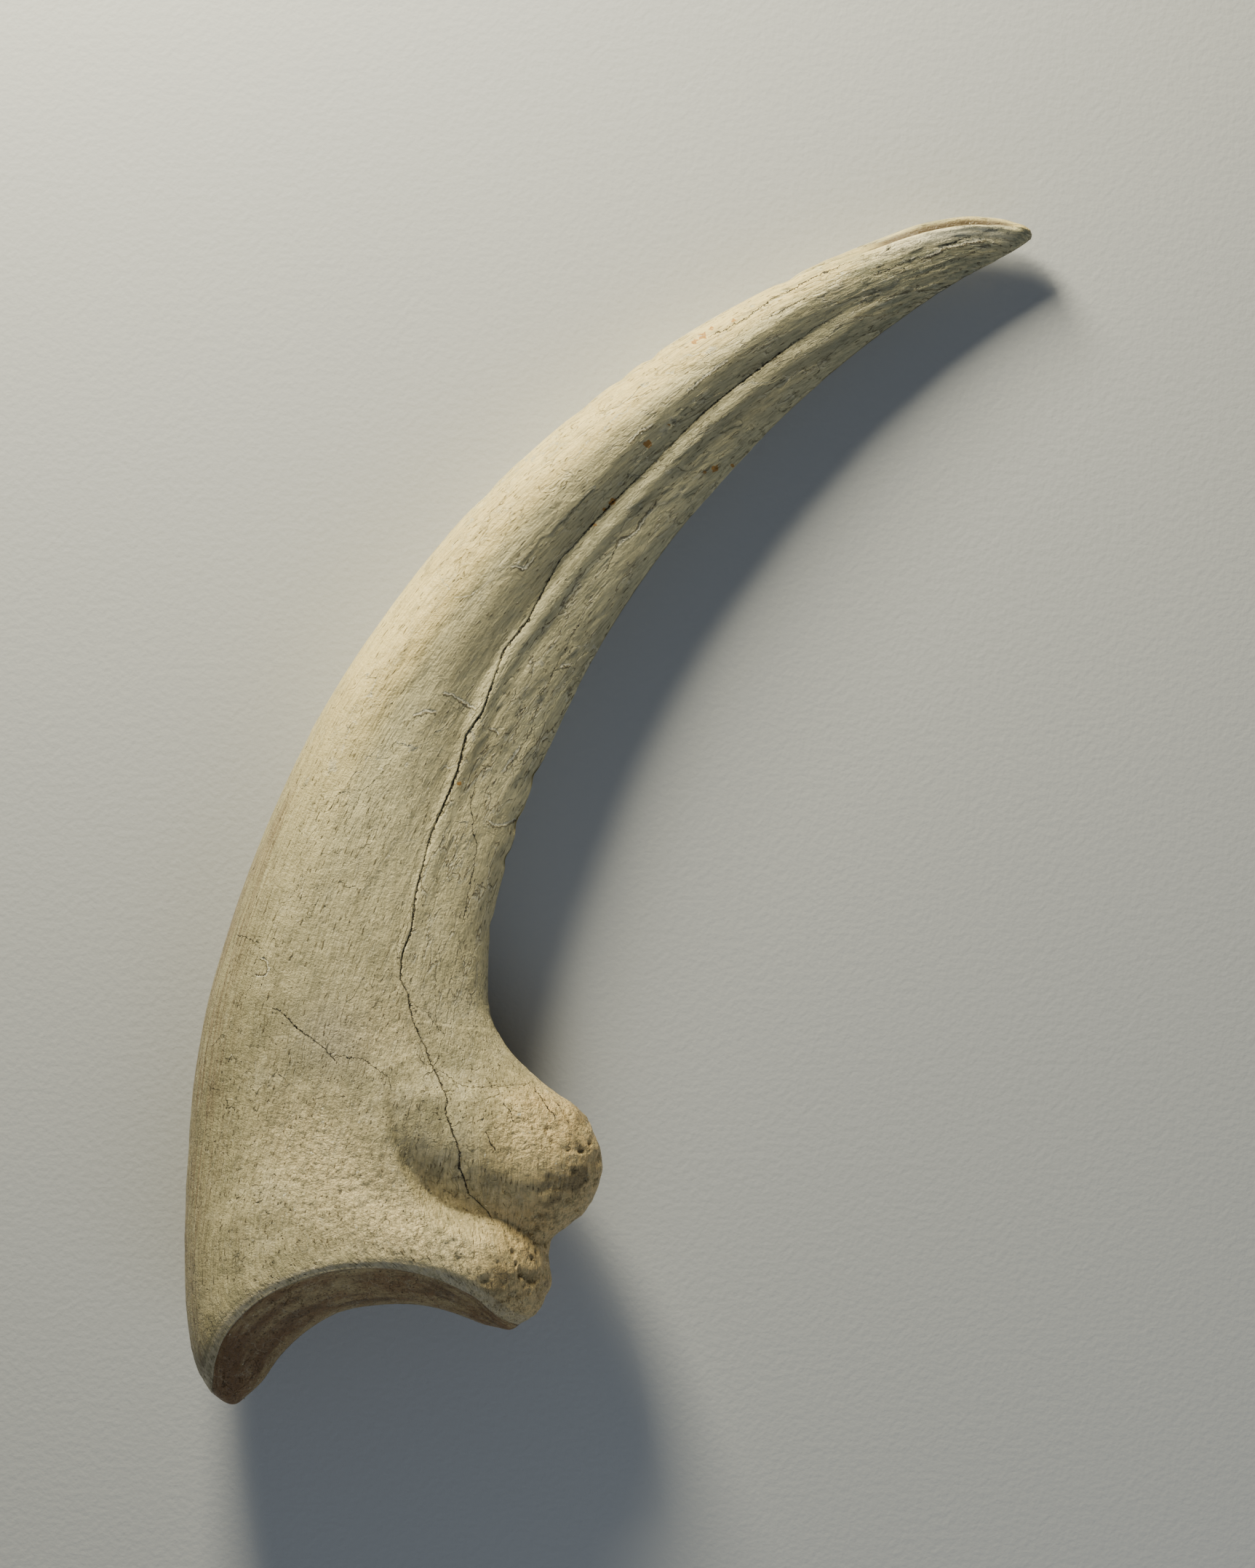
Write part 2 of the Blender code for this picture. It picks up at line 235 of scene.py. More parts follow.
# %% the long crack, and a grid that follows it
LONG_CRACK = (
    (23.3, 168.7), (16.3, 163.0), (8.2, 155.0), (5.3, 152.2), (0.0, 146.9),
    (-5.2, 141.1), (-7.8, 138.6), (-11.0, 132.5), (-13.4, 128.2), (-17.3, 123.5),
    (-19.2, 118.2), (-21.0, 113.4), (-23.4, 109.7), (-24.8, 104.4), (-26.3, 100.2),
    (-27.8, 96.6), (-29.2, 93.6), (-30.2, 89.2), (-31.6, 84.0), (-32.4, 77.9),
    (-34.0, 73.9), (-34.2, 70.0), (-33.1, 67.3), (-32.2, 63.5), (-30.2, 58.8),
    (-27.8, 53.5), (-27.0, 48.6), (-25.9, 44.9), (-24.8, 39.0), (-23.3, 34.7),
    (-20.0, 31.6), (-16.6, 26.2),
)
FACE_ROWS = 30
BLADE_ROWS = (150, 280, 45)
BLADE_STARTS = (0, 60, 200)
BACK_COLUMNS, INNER_COLUMNS, UNDER_COLUMNS = 74, 54, 56
CRACK_COLUMNS = np.array((-1, -0.62, -0.33, -0.14, 0.14, 0.33, 0.62, 1))
CRACK_REACH = 0.6
ON_THE_SIDES = 0.42
USUAL_CRACK_ANGLE = 1.8


def bunched(angle):
    """Moves angles towards the middle of the sides, away from the two edges."""
    return angle + ON_THE_SIDES * np.sin(2 * angle) / 2


def row_stations():
    """Evenly spread rows on each stretch, closing up like a sine at the tip."""
    base, blade, tip = BLADE_STARTS
    base_rows, blade_rows, tip_rows = BLADE_ROWS
    closing = np.sin(np.linspace(0, math.pi / 2, tip_rows))
    return np.concatenate((
        np.linspace(base, blade, base_rows, endpoint=False),
        np.linspace(blade, tip, blade_rows, endpoint=False),
        tip + (TIP - tip) * closing,
    ))


def crack_angles(stations):
    """The angle of the long crack at each station, held past both of its ends.

    Each point of the crack takes the station and angle of the nearest grid point.
    """
    plain = bunched(np.linspace(0, math.pi, 240))
    flat, _ = blade_points(stations, np.broadcast_to(plain, (len(stations), 240)))
    offset = flat[None] - np.array(LONG_CRACK)[:, None, None]
    nearest = (offset**2).sum(-1).reshape(len(LONG_CRACK), -1).argmin(1)
    row, column = np.unravel_index(nearest, flat.shape[:2])
    order = np.argsort(stations[row])
    return np.interp(stations, stations[row][order], plain[column][order])


def column_angles(stations, crack):
    """Angles of every row: back to crack, the crack's own columns, and all the rest."""
    reach = 2 * CRACK_REACH / (depth_of(stations) * np.sin(crack)).clip(1.0)
    reach = reach.clip(0, 0.06)[:, None]
    crack = crack[:, None]
    left = bunched(np.linspace(0, USUAL_CRACK_ANGLE, BACK_COLUMNS + 1))[:-1]
    left = left / bunched(USUAL_CRACK_ANGLE) * (crack - reach)
    rest = math.pi - USUAL_CRACK_ANGLE
    right = bunched(np.linspace(rest, 0, INNER_COLUMNS + 1))[1:]
    right = math.pi - right / bunched(rest) * (math.pi - crack - reach)
    under = math.pi + bunched(np.linspace(0, math.pi, UNDER_COLUMNS + 2))[1:-1]
    under = np.broadcast_to(under, (len(stations), len(under)))
    return np.concatenate((left, crack + reach * CRACK_COLUMNS, right, under), axis=1)


stations = row_stations()
crack_angle = crack_angles(stations)
angles = column_angles(stations, crack_angle)
print("grid:", FACE_ROWS + len(stations), "rows of", angles.shape[1], "points")

# %% [markdown]
# ## The joint face
#
# The claw hinged on the toe bone in front of it, on a hollow face with a keel down its
# middle. Its near rim is a hollow arc, and the keel stands out past it. The rows of
# the face run from the keel out to the rim, dip in between, and round the two lips.

# %% rows of the joint face
KEEL = (
    (-60.4, 0.2), (-57.6, 2.8), (-54.6, 7.0), (-50.2, 11.2), (-44.6, 14.4),
    (-37.6, 15.6), (-30.0, 15.3), (-24.2, 13.6), (-20.4, 12.2), (-18.4, 11.9),
)
LIP_BULGE = 1.6
INNER_LIP_BULGE = 0.7
FACE_HOLLOW = 0.22
FACE_SPAN = 16.0


def face_points(rim_flat, rim_height, angle):
    """Flat places and heights from the keel out to the rim.

    The way in from the rim is an S-curve from rim to keel, less a share of a sine wave
    that hollows it, and the height falls to nothing at the keel.
    """
    across = across_share(angle)
    keel = along_points(KEEL, across)
    inward = np.linspace(1.0, 0.0, FACE_ROWS, endpoint=False)[:, None]
    climb = fade(inward, 0.0, 1.0) - FACE_HOLLOW * np.sin(np.pi * inward)
    edge = np.abs(np.cos(angle))[None] ** 6
    climb = climb * (1 - edge) + inward * edge
    flat = rim_flat + climb[..., None] * (keel - rim_flat)
    out = np.array((0.26, -0.97))
    bulge = np.where(across < 0.5, LIP_BULGE, INNER_LIP_BULGE)
    flat += (bulge * edge * np.sin(np.pi * inward))[..., None] * out
    height = rim_height * (1 - inward) ** 0.8
    return flat, height, inward


blade_flat, blade_height = blade_points(stations, angles)
face_flat, face_height, inward = face_points(blade_flat[0], blade_height[0], angles[0])
flat = np.concatenate((face_flat, blade_flat))
height = np.concatenate((face_height, blade_height))
angle = np.concatenate((np.broadcast_to(angles[0], face_height.shape), angles))
station = np.concatenate((-FACE_SPAN * inward[:, 0], stations))[:, None]
station = np.broadcast_to(station, height.shape)
on_face = np.broadcast_to(station < 0, height.shape)
near = fade(height, -0.6, 0.6)
across = across_share(angle)
depth = depth_of(station.clip(0, TIP))
print("depth at the joint and at mid length, mm:", depth_of(np.array((0, 113))).round(1))

# %% [markdown]
# ## Chance, but the same each time
#
# Pits, lumps and flakes follow no rule, so they come from noise. Blender's own noise
# textures work point by point in a material. Here whole arrays are wanted, so a small
# hash turns each cell of a lattice into a number that is always the same.

# %% noise on whole arrays
HASH_STEPS = (374761393, 668265263, 2246822519)


def cell_number(cell, seed):
    """A repeatable random number, 0 to 1, for each cell of whole numbers."""
    mixed = np.full(cell.shape[:-1], seed * 7919 + 17, np.uint32)
    for axis, step in enumerate(HASH_STEPS):
        mixed ^= cell[..., axis].astype(np.uint32) * np.uint32(step)
        mixed = (mixed ^ (mixed >> np.uint32(15))) * np.uint32(2654435761)
    return (mixed ^ (mixed >> np.uint32(13))).astype(float) / 2**32


def noise(points, seed):
    """Lattice noise, -1 to 1: each cell's corner numbers joined by S-curves."""
    cell = np.floor(points).astype(np.int64)
    part = points - cell
    part = part * part * (3 - 2 * part)
    total = np.zeros(points.shape[:-1])
    for corner in itertools.product((0, 1), repeat=3):
        weight = np.where(corner, part, 1 - part).prod(-1)
        total += weight * cell_number(cell + np.array(corner), seed)
    return 2 * total - 1


def layered(points, seed, layers=3):
    """Noise with finer and weaker noise on top, each layer twice as fine."""
    layer = [noise(points * 2**k, seed + k) / 2**k for k in range(layers)]
    return sum(layer) / sum(0.5**k for k in range(layers))


def patches(points, seed):
    """Scattered cells: each point's distance to its cell's centre, how much nearer
    that centre is than the next one, and a number, 0 to 1, that its cell has."""
    home = np.floor(points).astype(np.int64)
    first = np.full(points.shape[:-1], 9.0)
    second = first.copy()
    number = first.copy()
    for step in itertools.product((-1, 0, 1), repeat=3):
        cell = home + np.array(step)
        jitter = np.stack([cell_number(cell, seed + k) for k in range(3)], -1)
        away = np.linalg.norm(points - cell - jitter, axis=-1)
        closer = away < first
        second = np.where(closer, first, np.minimum(second, away))
        number = np.where(closer, cell_number(cell, seed + 5), number)
        first = np.where(closer, away, first)
    return first, second - first, number


# %% [markdown]
# ## Grain coordinates
#
# Bone has a grain: it splits, flakes and stains along its length. So most patterns are
# laid in coordinates that are straightened out: the distance across from the back
# edge, the distance along the claw, and the height. They join without a seam at both
# edges, because there the height goes through zero.

# %% straightened coordinates
grain = np.stack((across * depth, station, height), -1)


def stretched(across_mm, along_mm):
    """Grain coordinates in units of a feature's own width and length."""
    return grain / np.array((across_mm, along_mm, across_mm))


print("grain runs to", grain.reshape(-1, 3).max(0).round(1), "mm")

# %% [markdown]
# ## Reading a path
#
# The groove, the hollow and the cracks are all paths on the side of the bone. For each
# point of the surface it is enough to know how far along a path it is and how far to
# its left. A path that runs towards the joint has the inner edge on its left.

# %% how far along a path, and how far beside it


def beside_path(points, path, reach, pieces=80, smooth=True):
    """Each point's value along a path, and its distance to the left of the path.

    The path is read off as short straight pieces, and a point is measured to the piece
    nearest to it. Points further than reach get the last value and the reach itself.
    """
    line = along_points(path, np.linspace(0, 1, pieces + 1), smooth)
    low, high = line[:, :2].min(0) - reach, line[:, :2].max(0) + reach
    close = ((points > low) & (points < high)).all(-1)
    start, step = line[:-1, :2], np.diff(line[:, :2], axis=0)
    offset = points[close][:, None, :] - start
    part = np.clip((offset * step).sum(-1) / (step**2).sum(-1), 0.0, 1.0)
    away = offset - part[..., None] * step
    distance = np.linalg.norm(away, axis=-1)
    nearest = distance.argmin(-1)[:, None]
    turn = step[:, 0] * away[..., 1] - step[:, 1] * away[..., 0]
    signed = np.where(turn > 0, distance, -distance)
    share = (nearest + np.take_along_axis(part, nearest, -1)) / pieces
    value = np.zeros(points.shape[:-1] + (line.shape[1],))
    left = np.full(points.shape[:-1], float(reach))
    value[close] = along_points(path, share[:, 0], smooth)
    left[close] = np.take_along_axis(signed, nearest, -1)[:, 0]
    return value[..., 2:], left


def spot(place, radius):
    """A round soft spot at a flat place: 1 at its middle and nothing past it."""
    away = np.linalg.norm(flat - np.array(place), axis=-1)
    return np.exp(-((away / radius) ** 2))


# %% [markdown]
# ## The groove of the blood vessel
#
# On each side a vessel ran in a groove from the joint to the tip. It is shallow: the side
# already falls away there, so a broad back wall only steepens it, and past the narrow
# floor the surface rises just enough to make a flat ledge. The wall lies in shade and
# the ledge in light, and that pair of bands is what the eye reads along the whole
# claw. So each side of the path has a ramp of its own: a straight one, raised to a
# power a little over 1, and a bell that ends on the ledge.

# %% groove, ridge and trough
VESSEL_GROOVE = (
    (47.0, 184.2, 0.0, 0.0), (38.0, 178.9, 0.40, 0.10), (33.3, 175.9, 0.60, 0.15),
    (24.5, 170.1, 0.80, 0.15), (18.8, 165.4, 0.95, 0.20), (12.9, 160.2, 1.05, 0.20),
    (7.2, 154.3, 1.10, 0.20), (1.0, 147.8, 1.10, 0.20), (-4.7, 141.6, 1.10, 0.20),
    (-8.9, 136.0, 1.05, 0.25), (-13.4, 130.0, 0.95, 0.30), (-17.9, 124.0, 0.90, 0.30),
    (-21.8, 117.2, 0.85, 0.30), (-24.7, 109.4, 0.75, 0.30), (-27.6, 101.4, 0.65, 0.25),
    (-30.6, 92.0, 0.50, 0.20), (-33.6, 82.0, 0.35, 0.15), (-36.2, 72.0, 0.2, 0.10),
    (-37.0, 62.0, 0.0, 0.0),
)
GROOVE_BACK_WALL = (4.6, 6.6)
GROOVE_STEEP_WALL = 1.5
GROOVE_POWER = 1.2
LEDGE = (0.40, 3.5, 12.0)
RIDGE_OFF = 2.0
RIDGE_WALLS = (1.3, 1.5)
TROUGH_OFF = 4.4
TROUGH_WIDTH = 1.1

groove_value, groove_left = beside_path(flat, VESSEL_GROOVE, 14, 120)
groove_depth, ridge_height = groove_value[..., 0], groove_value[..., 1]
back_wall = GROOVE_BACK_WALL[1] - np.ptp(GROOVE_BACK_WALL) * fade(station, 90, 170)
back_ramp = np.clip(1 + groove_left / back_wall, 0, 1) ** GROOVE_POWER
ledge, ledge_from, ledge_to = LEDGE
ledge_ramp = ledge * (1 - fade(groove_left, ledge_from, ledge_to))
ledge_ramp += (1 - ledge) * np.exp(-((groove_left / GROOVE_STEEP_WALL) ** 2))
groove = groove_depth * np.where(groove_left < 0, back_ramp, ledge_ramp)
ridge_wall = np.where(groove_left < RIDGE_OFF, *RIDGE_WALLS)
ridge = ridge_height * np.exp(-(((groove_left - RIDGE_OFF) / ridge_wall) ** 2))
trough = 0.5 * ridge_height * np.exp(-(((groove_left - TROUGH_OFF) / TROUGH_WIDTH) ** 2))
side_strength = np.abs(np.sin(angle)) ** 0.5
print("deepest groove, mm:", groove.max().round(2))

# %% [markdown]
# ## The hollow between joint and heel
#
# Between the joint and the heel the side drops into a deep hollow, a crooked valley
# that runs out at the notch between them. Its floor is a sharp crease: straight ramps
# raised to a power just over 1 meet in it at an angle, which two halves of a bell
# wouldn't. It is pressed straight in, not along the surface, because on
# its steep wall the surface's own direction would fold it over. The table gives its
# depth and the widths of its steep wall and of its long one. A low ridge stands between
# it and the rim, and the heel swells up on its other side.

# %% hollow, ridge by the rim, heel
HEEL_HOLLOW = (
    (-36.8, 56.0, 0.0, 0.8, 5.0), (-36.0, 51.6, 0.45, 0.8, 8.5), (-34.8, 45.4, 1.4, 1.0, 10.6),
    (-32.9, 39.8, 2.8, 1.4, 10.6), (-30.2, 35.5, 3.8, 2.0, 10.6), (-27.2, 32.8, 4.1, 2.9, 9.8),
    (-23.6, 31.4, 4.0, 3.6, 9.0), (-18.6, 30.4, 3.4, 3.8, 8.0), (-13.8, 28.6, 2.6, 3.4, 7.0),
    (-9.0, 26.4, 1.4, 3.0, 6.0),
)
HOLLOW_POWERS = (1.5, 1.15)
JOINT_RIDGE = (
    (-46.0, 36.0, 0.0), (-40.0, 31.0, 0.4), (-32.5, 27.0, 0.8), (-25.6, 23.2, 1.0),
    (-19.0, 19.4, 0.9), (-14.5, 16.4, 0.6),
)
JOINT_RIDGE_WIDTH = 3.6
HEEL_SWELLS = (((-12.5, 46.0), 10.0, 1.4), ((-8.0, 34.0), 6.0, 0.7), ((-6.5, 43.0), 6.0, 0.6))

hollow_value, hollow_left = beside_path(flat, HEEL_HOLLOW, 26)
wall = np.where(hollow_left > 0, hollow_value[..., 2], hollow_value[..., 1]).clip(1)
power = np.where(hollow_left > 0, *HOLLOW_POWERS)
hollow = hollow_value[..., 0] * np.clip(1 - np.abs(hollow_left) / wall, 0, 1) ** power
hollow = np.where(on_face, 0.0, hollow)
ridge_value, ridge_left = beside_path(flat, JOINT_RIDGE, 20)
joint_ridge = ridge_value[..., 0] * np.exp(-((ridge_left / JOINT_RIDGE_WIDTH) ** 2))
joint_ridge = np.where(on_face, 0.0, joint_ridge)
swell = sum(rise * spot(place, radius) for place, radius, rise in HEEL_SWELLS)
pressed = (swell + joint_ridge - hollow) * side_strength
print("deepest hollow, mm:", hollow.max().round(2))

# %% [markdown]
# ## The rim of the joint face
#
# Round the face runs a smooth pale band, where the bone rolls over to the joint. It is
# a small thing, but the eye goes to it. The last two and a half millimetres of the
# side bend down, and a fine crease marks where they start.

# %% rolled rim
RIM_BAND = 2.6
RIM_DROP = 0.7
CREASE = (0.10, 0.30)

rim_roll = RIM_DROP * np.clip(1 - station / RIM_BAND, 0, 1) ** 1.2
rim_roll = np.where(on_face, RIM_DROP * (1 + station / FACE_SPAN), rim_roll) * side_strength
crease = CREASE[0] * np.exp(-(((station - RIM_BAND) / CREASE[1]) ** 2))
rim_band = np.where(on_face, 0.0, 1 - fade(station, RIM_BAND - 0.3, RIM_BAND + 0.2))

# %% [markdown]
# ## Cracks
#
# A fossil cracks as it dries and is lifted: one long crack down this one, a jagged one
# across its base, and fine ones along the grain. Each is a list of places, with how
# open it is at most. The long crack is cut into the mesh by its own columns. The
# others are shallow in the mesh, and the material draws their dark line, so the
# surface keeps each point's distance to the nearest crack as an attribute. Edges of
# chips that broke off lately are lines too: a painted highlight along each, and a line
# of painted shade just beside it. All these lines waver a little, because they are
# measured from places moved by noise.

# %% crack lines
CRACKS = (
    (0.9, ((-55.9, 65.5), (-53.5, 64.6), (-51.0, 61.8), (-47.8, 59.6), (-46.1, 58.0),
           (-44.4, 55.8))),
    (0.6, ((-46.4, 58.4), (-43.9, 57.4), (-40.1, 56.9), (-37.8, 55.2), (-36.1, 54.1),
           (-35.5, 52.4), (-35.9, 51.0))),
    (0.6, ((-62.0, 77.2), (-60.5, 76.9), (-58.8, 76.3), (-57.1, 75.6))),
    (0.5, ((-32.2, 60.0), (-31.0, 56.6), (-26.4, 54.1), (-24.8, 52.8), (-23.0, 52.2),
           (-17.8, 52.4), (-13.9, 52.6), (-11.6, 53.2))),
    (0.9, ((-20.6, 45.4), (-19.8, 43.6), (-18.6, 41.6))),
    (0.8, ((-12.8, 52.4), (-11.4, 50.2), (-10.2, 48.4), (-8.6, 46.6))),
    (0.7, ((-17.6, 50.0), (-16.4, 48.2), (-15.8, 46.0))),
    (0.6, ((-9.6, 50.2), (-7.8, 48.0), (-6.6, 45.6))),
    (0.5, ((-33.2, 67.0), (-29.6, 63.6), (-27.0, 60.4))),
    (0.7, ((15.3, 174.5), (17.0, 175.7), (19.5, 176.8), (22.5, 178.5), (25.0, 180.6),
           (26.7, 181.8), (30.1, 183.5), (33.8, 185.4), (37.6, 187.1), (41.8, 188.6))),
    (0.8, ((25.8, 178.2), (28.4, 179.7), (30.5, 181.0), (33.0, 182.2))),
    (0.6, ((41.0, 185.2), (44.4, 185.8), (46.9, 186.7), (49.0, 187.9), (52.4, 188.8),
           (54.9, 190.2), (57.8, 191.3), (61.6, 192.8))),
    (0.5, ((48.6, 184.8), (51.1, 185.6), (54.5, 187.3), (58.7, 189.0), (63.7, 191.5))),
    (0.6, ((23.3, 168.7), (27.0, 171.4), (32.6, 175.6), (37.2, 178.7))),
    (0.7, ((8.3, 149.4), (7.2, 147.1), (5.5, 144.4), (3.6, 142.1), (1.6, 141.4),
           (0.7, 139.8), (-0.7, 136.8), (-1.4, 135.2))),
    (0.6, ((-3.3, 131.4), (-6.0, 126.8), (-7.5, 123.4), (-9.3, 120.3), (-11.4, 116.1),
           (-12.6, 112.3), (-13.8, 108.7), (-15.4, 106.7))),
    (0.7, ((-20.6, 104.7), (-22.1, 101.5), (-22.9, 97.5), (-22.5, 93.6), (-21.9, 91.2),
           (-22.5, 87.2), (-23.5, 83.2), (-23.9, 80.4), (-24.3, 77.6))),
    (0.5, ((-25.5, 86.6), (-26.7, 85.2), (-28.1, 83.6))),
    (0.5, ((-26.9, 77.6), (-28.5, 73.7), (-28.7, 69.7), (-28.5, 65.7), (-28.5, 60.0))),
    (0.5, ((-31.4, 84.0), (-33.0, 80.6), (-34.6, 77.0), (-34.8, 72.0))),
)
CHIPPED_EDGES = (
    (1.0, ((-27.6, 116.8), (-25.9, 116.4), (-24.6, 115.3), (-23.3, 114.6), (-21.6, 114.0))),
    (0.9, ((-32.6, 112.6), (-30.4, 113.5), (-28.1, 113.3))),
    (0.9, ((-16.8, 137.2), (-15.7, 137.5), (-14.9, 137.2), (-13.9, 137.0), (-13.1, 138.0),
           (-12.2, 139.3))),
    (0.8, ((2.6, 157.4), (4.9, 159.4), (7.1, 161.0))),
    (1.0, ((7.4, 147.2), (5.7, 145.0), (3.7, 142.4), (1.9, 141.5), (1.0, 140.2))),
    (1.0, ((-18.1, 103.2), (-17.3, 104.7), (-15.9, 106.3), (-14.6, 108.1))),
    (0.8, ((-11.8, 108.6), (-10.4, 109.6))),
    (0.8, ((-20.1, 110.7), (-18.7, 110.6), (-18.2, 109.5))),
    (0.7, ((-20.6, 96.0), (-18.6, 94.8), (-17.4, 95.0), (-14.2, 96.0))),
    (0.7, ((-8.8, 120.6), (-7.6, 121.4), (-6.3, 121.0))),
    (0.8, ((12.0, 165.6), (15.2, 168.4), (19.6, 171.6))),
    (1.0, ((50.5, 188.1), (54.5, 189.9), (58.5, 190.9), (62.3, 191.8))),
    (0.7, ((-57.6, 73.6), (-56.0, 73.0), (-55.4, 71.2), (-56.6, 70.2), (-58.4, 70.6))),
)
CRACK_SIGHT = 1.5
FINE_CRACKS = 0.62
CRACK_SINK, CRACK_SINK_WIDE = 0.10, 0.4
CRACK_CLOSES = 0.12
WOBBLE, WOBBLE_LENGTH = 0.22, 1.6
LONG_CRACK_DEEP = 0.45
LONG_CRACK_WIDE = 0.2
LONG_CRACK_STARTS, LONG_CRACK_STOPS = (14.5, 18), (176, 186)
GAPING, GAPING_VARIES = 0.72, 0.22
THIN_ABOVE, THINNING = 0.3, (84, 130)

solid_at = np.concatenate((flat, height[..., None]), -1)
wobble = np.stack([WOBBLE * noise(solid_at / WOBBLE_LENGTH, 41 + k) for k in range(2)], -1)
wavering = flat + wobble


def nearest_line(points, lines):
    """The signed distance to the nearest of many lines, and how open that line is.

    A line closes over the last eighth of its length at either end.
    """
    offset = np.full(height.shape, CRACK_SIGHT)
    opened = np.zeros(height.shape)
    for openness, places in lines:
        shares = np.linspace(0, 1, len(places))
        path = [place + (share,) for place, share in zip(places, shares)]
        share, left = beside_path(points, path, CRACK_SIGHT, 4 * len(path), smooth=False)
        to_end = np.minimum(share[..., 0], 1 - share[..., 0])
        here = openness * fade(to_end, 0.0, CRACK_CLOSES) * (np.abs(left) < CRACK_SIGHT) * near
        nearer = (np.abs(left) < np.abs(offset)) & (here > 0)
        offset = np.where(nearer, left, offset)
        opened = np.where(nearer, here, opened)
    return offset, opened


crack_offset, crack_open = nearest_line(wavering, CRACKS)
crack_open = FINE_CRACKS * crack_open
edge_offset, edge_open = nearest_line(wavering, CHIPPED_EDGES)
cracks = CRACK_SINK * crack_open * np.exp(-((crack_offset / CRACK_SINK_WIDE) ** 2))

share_of_crack = across_share(np.concatenate((np.full(FACE_ROWS, crack_angle[0]), crack_angle)))
long_offset = (across - share_of_crack[:, None]) * depth
ends = fade(station, *LONG_CRACK_STARTS) * (1 - fade(station, *LONG_CRACK_STOPS))
gaping = GAPING + GAPING_VARIES * noise(stretched(30, 5), 3)
gaping -= THIN_ABOVE * fade(station, *THINNING)
long_open = ends * near * gaping * (np.abs(long_offset) < CRACK_SIGHT)
long_crack = long_open * np.clip(1 - np.abs(long_offset) / LONG_CRACK_WIDE, 0, 1)
nearer = (long_open > 0) & (np.abs(long_offset) <= np.abs(crack_offset))
crack_offset = np.where(nearer, long_offset, crack_offset)
crack_open = np.where(nearer, long_open, crack_open)
print("cracks:", 1 + len(CRACKS), "points beside one:", int((crack_open > 0.1).sum()))

# %% [markdown]
# ## Layers, pits and lumps
#
# The skin of a bone is layered like bark. Where it dries out it lifts and breaks off
# in long plates, most of all on the inner side of the curve. The plates are scattered
# cells, stretched along the grain, and each has a level of its own. Elsewhere only
# thin sheets have gone, with an edge like a coast: a step where a broad noise passes
# a level. The heel and the lip of the joint are spongy, with real pits.

# %% plates, sheets, pits and lumps
PLATE_SIZE = (2.9, 10.0)
PLATE_STEP = 0.12
PLATE_GAP, PLATE_GAP_WIDE = 0.05, 0.08
SHEET_STEP = 0.09
SHEET_SIZE, SHEET_RAGGED = (8.5, 26.0), 0.10
SHEET_EDGES = ((0.10, 0.14), (0.34, 0.38))
PIT_SIZE, PIT_DEPTH = 1.5, 0.45
LUMP_SIZE, LUMP_HEIGHT = 3.2, 0.42
FINE_SIZE, FINE_HEIGHT = (0.9, 3.4), 0.06
WAVE_SIZE, WAVE_HEIGHT = (6.5, 45.0), 0.06
RIB_SIZE, RIB_HEIGHT = (0.9, 16.0), 0.10
SPONGY_LIP = ((-15.0, 19.5), 6.5)
# the golden places raise lumps, and in the material get a gold that is partly the hardener's tint
# and partly a painted highlight
GOLDEN_LUMPS = (
    ((-44.0, 36.0), 9.0, 0.7), ((-33.0, 29.5), 7.0, 0.8), ((-22.0, 25.0), 6.0, 0.8),
    ((-50.0, 44.0), 7.0, 0.5), ((-36.0, 62.0), 6.0, 0.35), ((-10.5, 46.5), 6.5, 1.2),
    ((-15.0, 41.0), 6.0, 0.5),
)

warp = 0.35 * np.stack([noise(stretched(2.2, 5.0), 50 + k) for k in range(3)], -1)
flaky = fade(across, 0.62, 0.74) * hump(station, 66, 118, 14) * near
flaky += 0.35 * fade(across, 0.5, 0.66) * hump(station, 118, 190, 10) * near
flaky *= 1 - fade(across, 0.985, 1.0)
_, plate_edge, plate_number = patches(stretched(*PLATE_SIZE) + warp, 60)
plates = flaky * PLATE_STEP * (plate_number - 0.6)
plate_gap = flaky * PLATE_GAP * np.exp(-((plate_edge / PLATE_GAP_WIDE) ** 2))
plate_gap *= plate_number > 0.4

sheet_noise = layered(stretched(*SHEET_SIZE), 70, 4)
sheet_noise += SHEET_RAGGED * noise(stretched(0.9, 1.6), 77)
sheets = SHEET_STEP * sum(fade(sheet_noise, *edge) for edge in SHEET_EDGES)

spongy = hump(station, 5, 40, 6) * fade(across, 0.80, 0.95) * ~on_face
spongy = np.maximum(spongy, 1.2 * spot(*SPONGY_LIP) * ~on_face * near)
golden = sum(share * spot(place, radius) for place, radius, share in GOLDEN_LUMPS) * near
rough = np.maximum(spongy, 0.22 * hump(station, 2.5, 34, 14) * ~on_face)
rough = np.maximum(rough, 0.3 * golden.clip(0, 1) * ~on_face)
pit_away, _, pit_number = patches(solid_at / PIT_SIZE + 0.5 * warp, 80)
pits = PIT_DEPTH * spongy * fade(0.5 * pit_number - pit_away, 0.0, 0.25)
lumps = LUMP_HEIGHT * rough * layered(solid_at / LUMP_SIZE, 90, 4)
fine = FINE_HEIGHT * layered(stretched(*FINE_SIZE), 95, 2) * (0.6 + rough)
waves = WAVE_HEIGHT * noise(stretched(*WAVE_SIZE), 99) * ~on_face
tip_ribs = RIB_HEIGHT * layered(stretched(*RIB_SIZE), 101, 2) * fade(station, 176, 200)
print("plates cover", round(float((flaky > 0.3).mean()) * 100), "% of the surface")
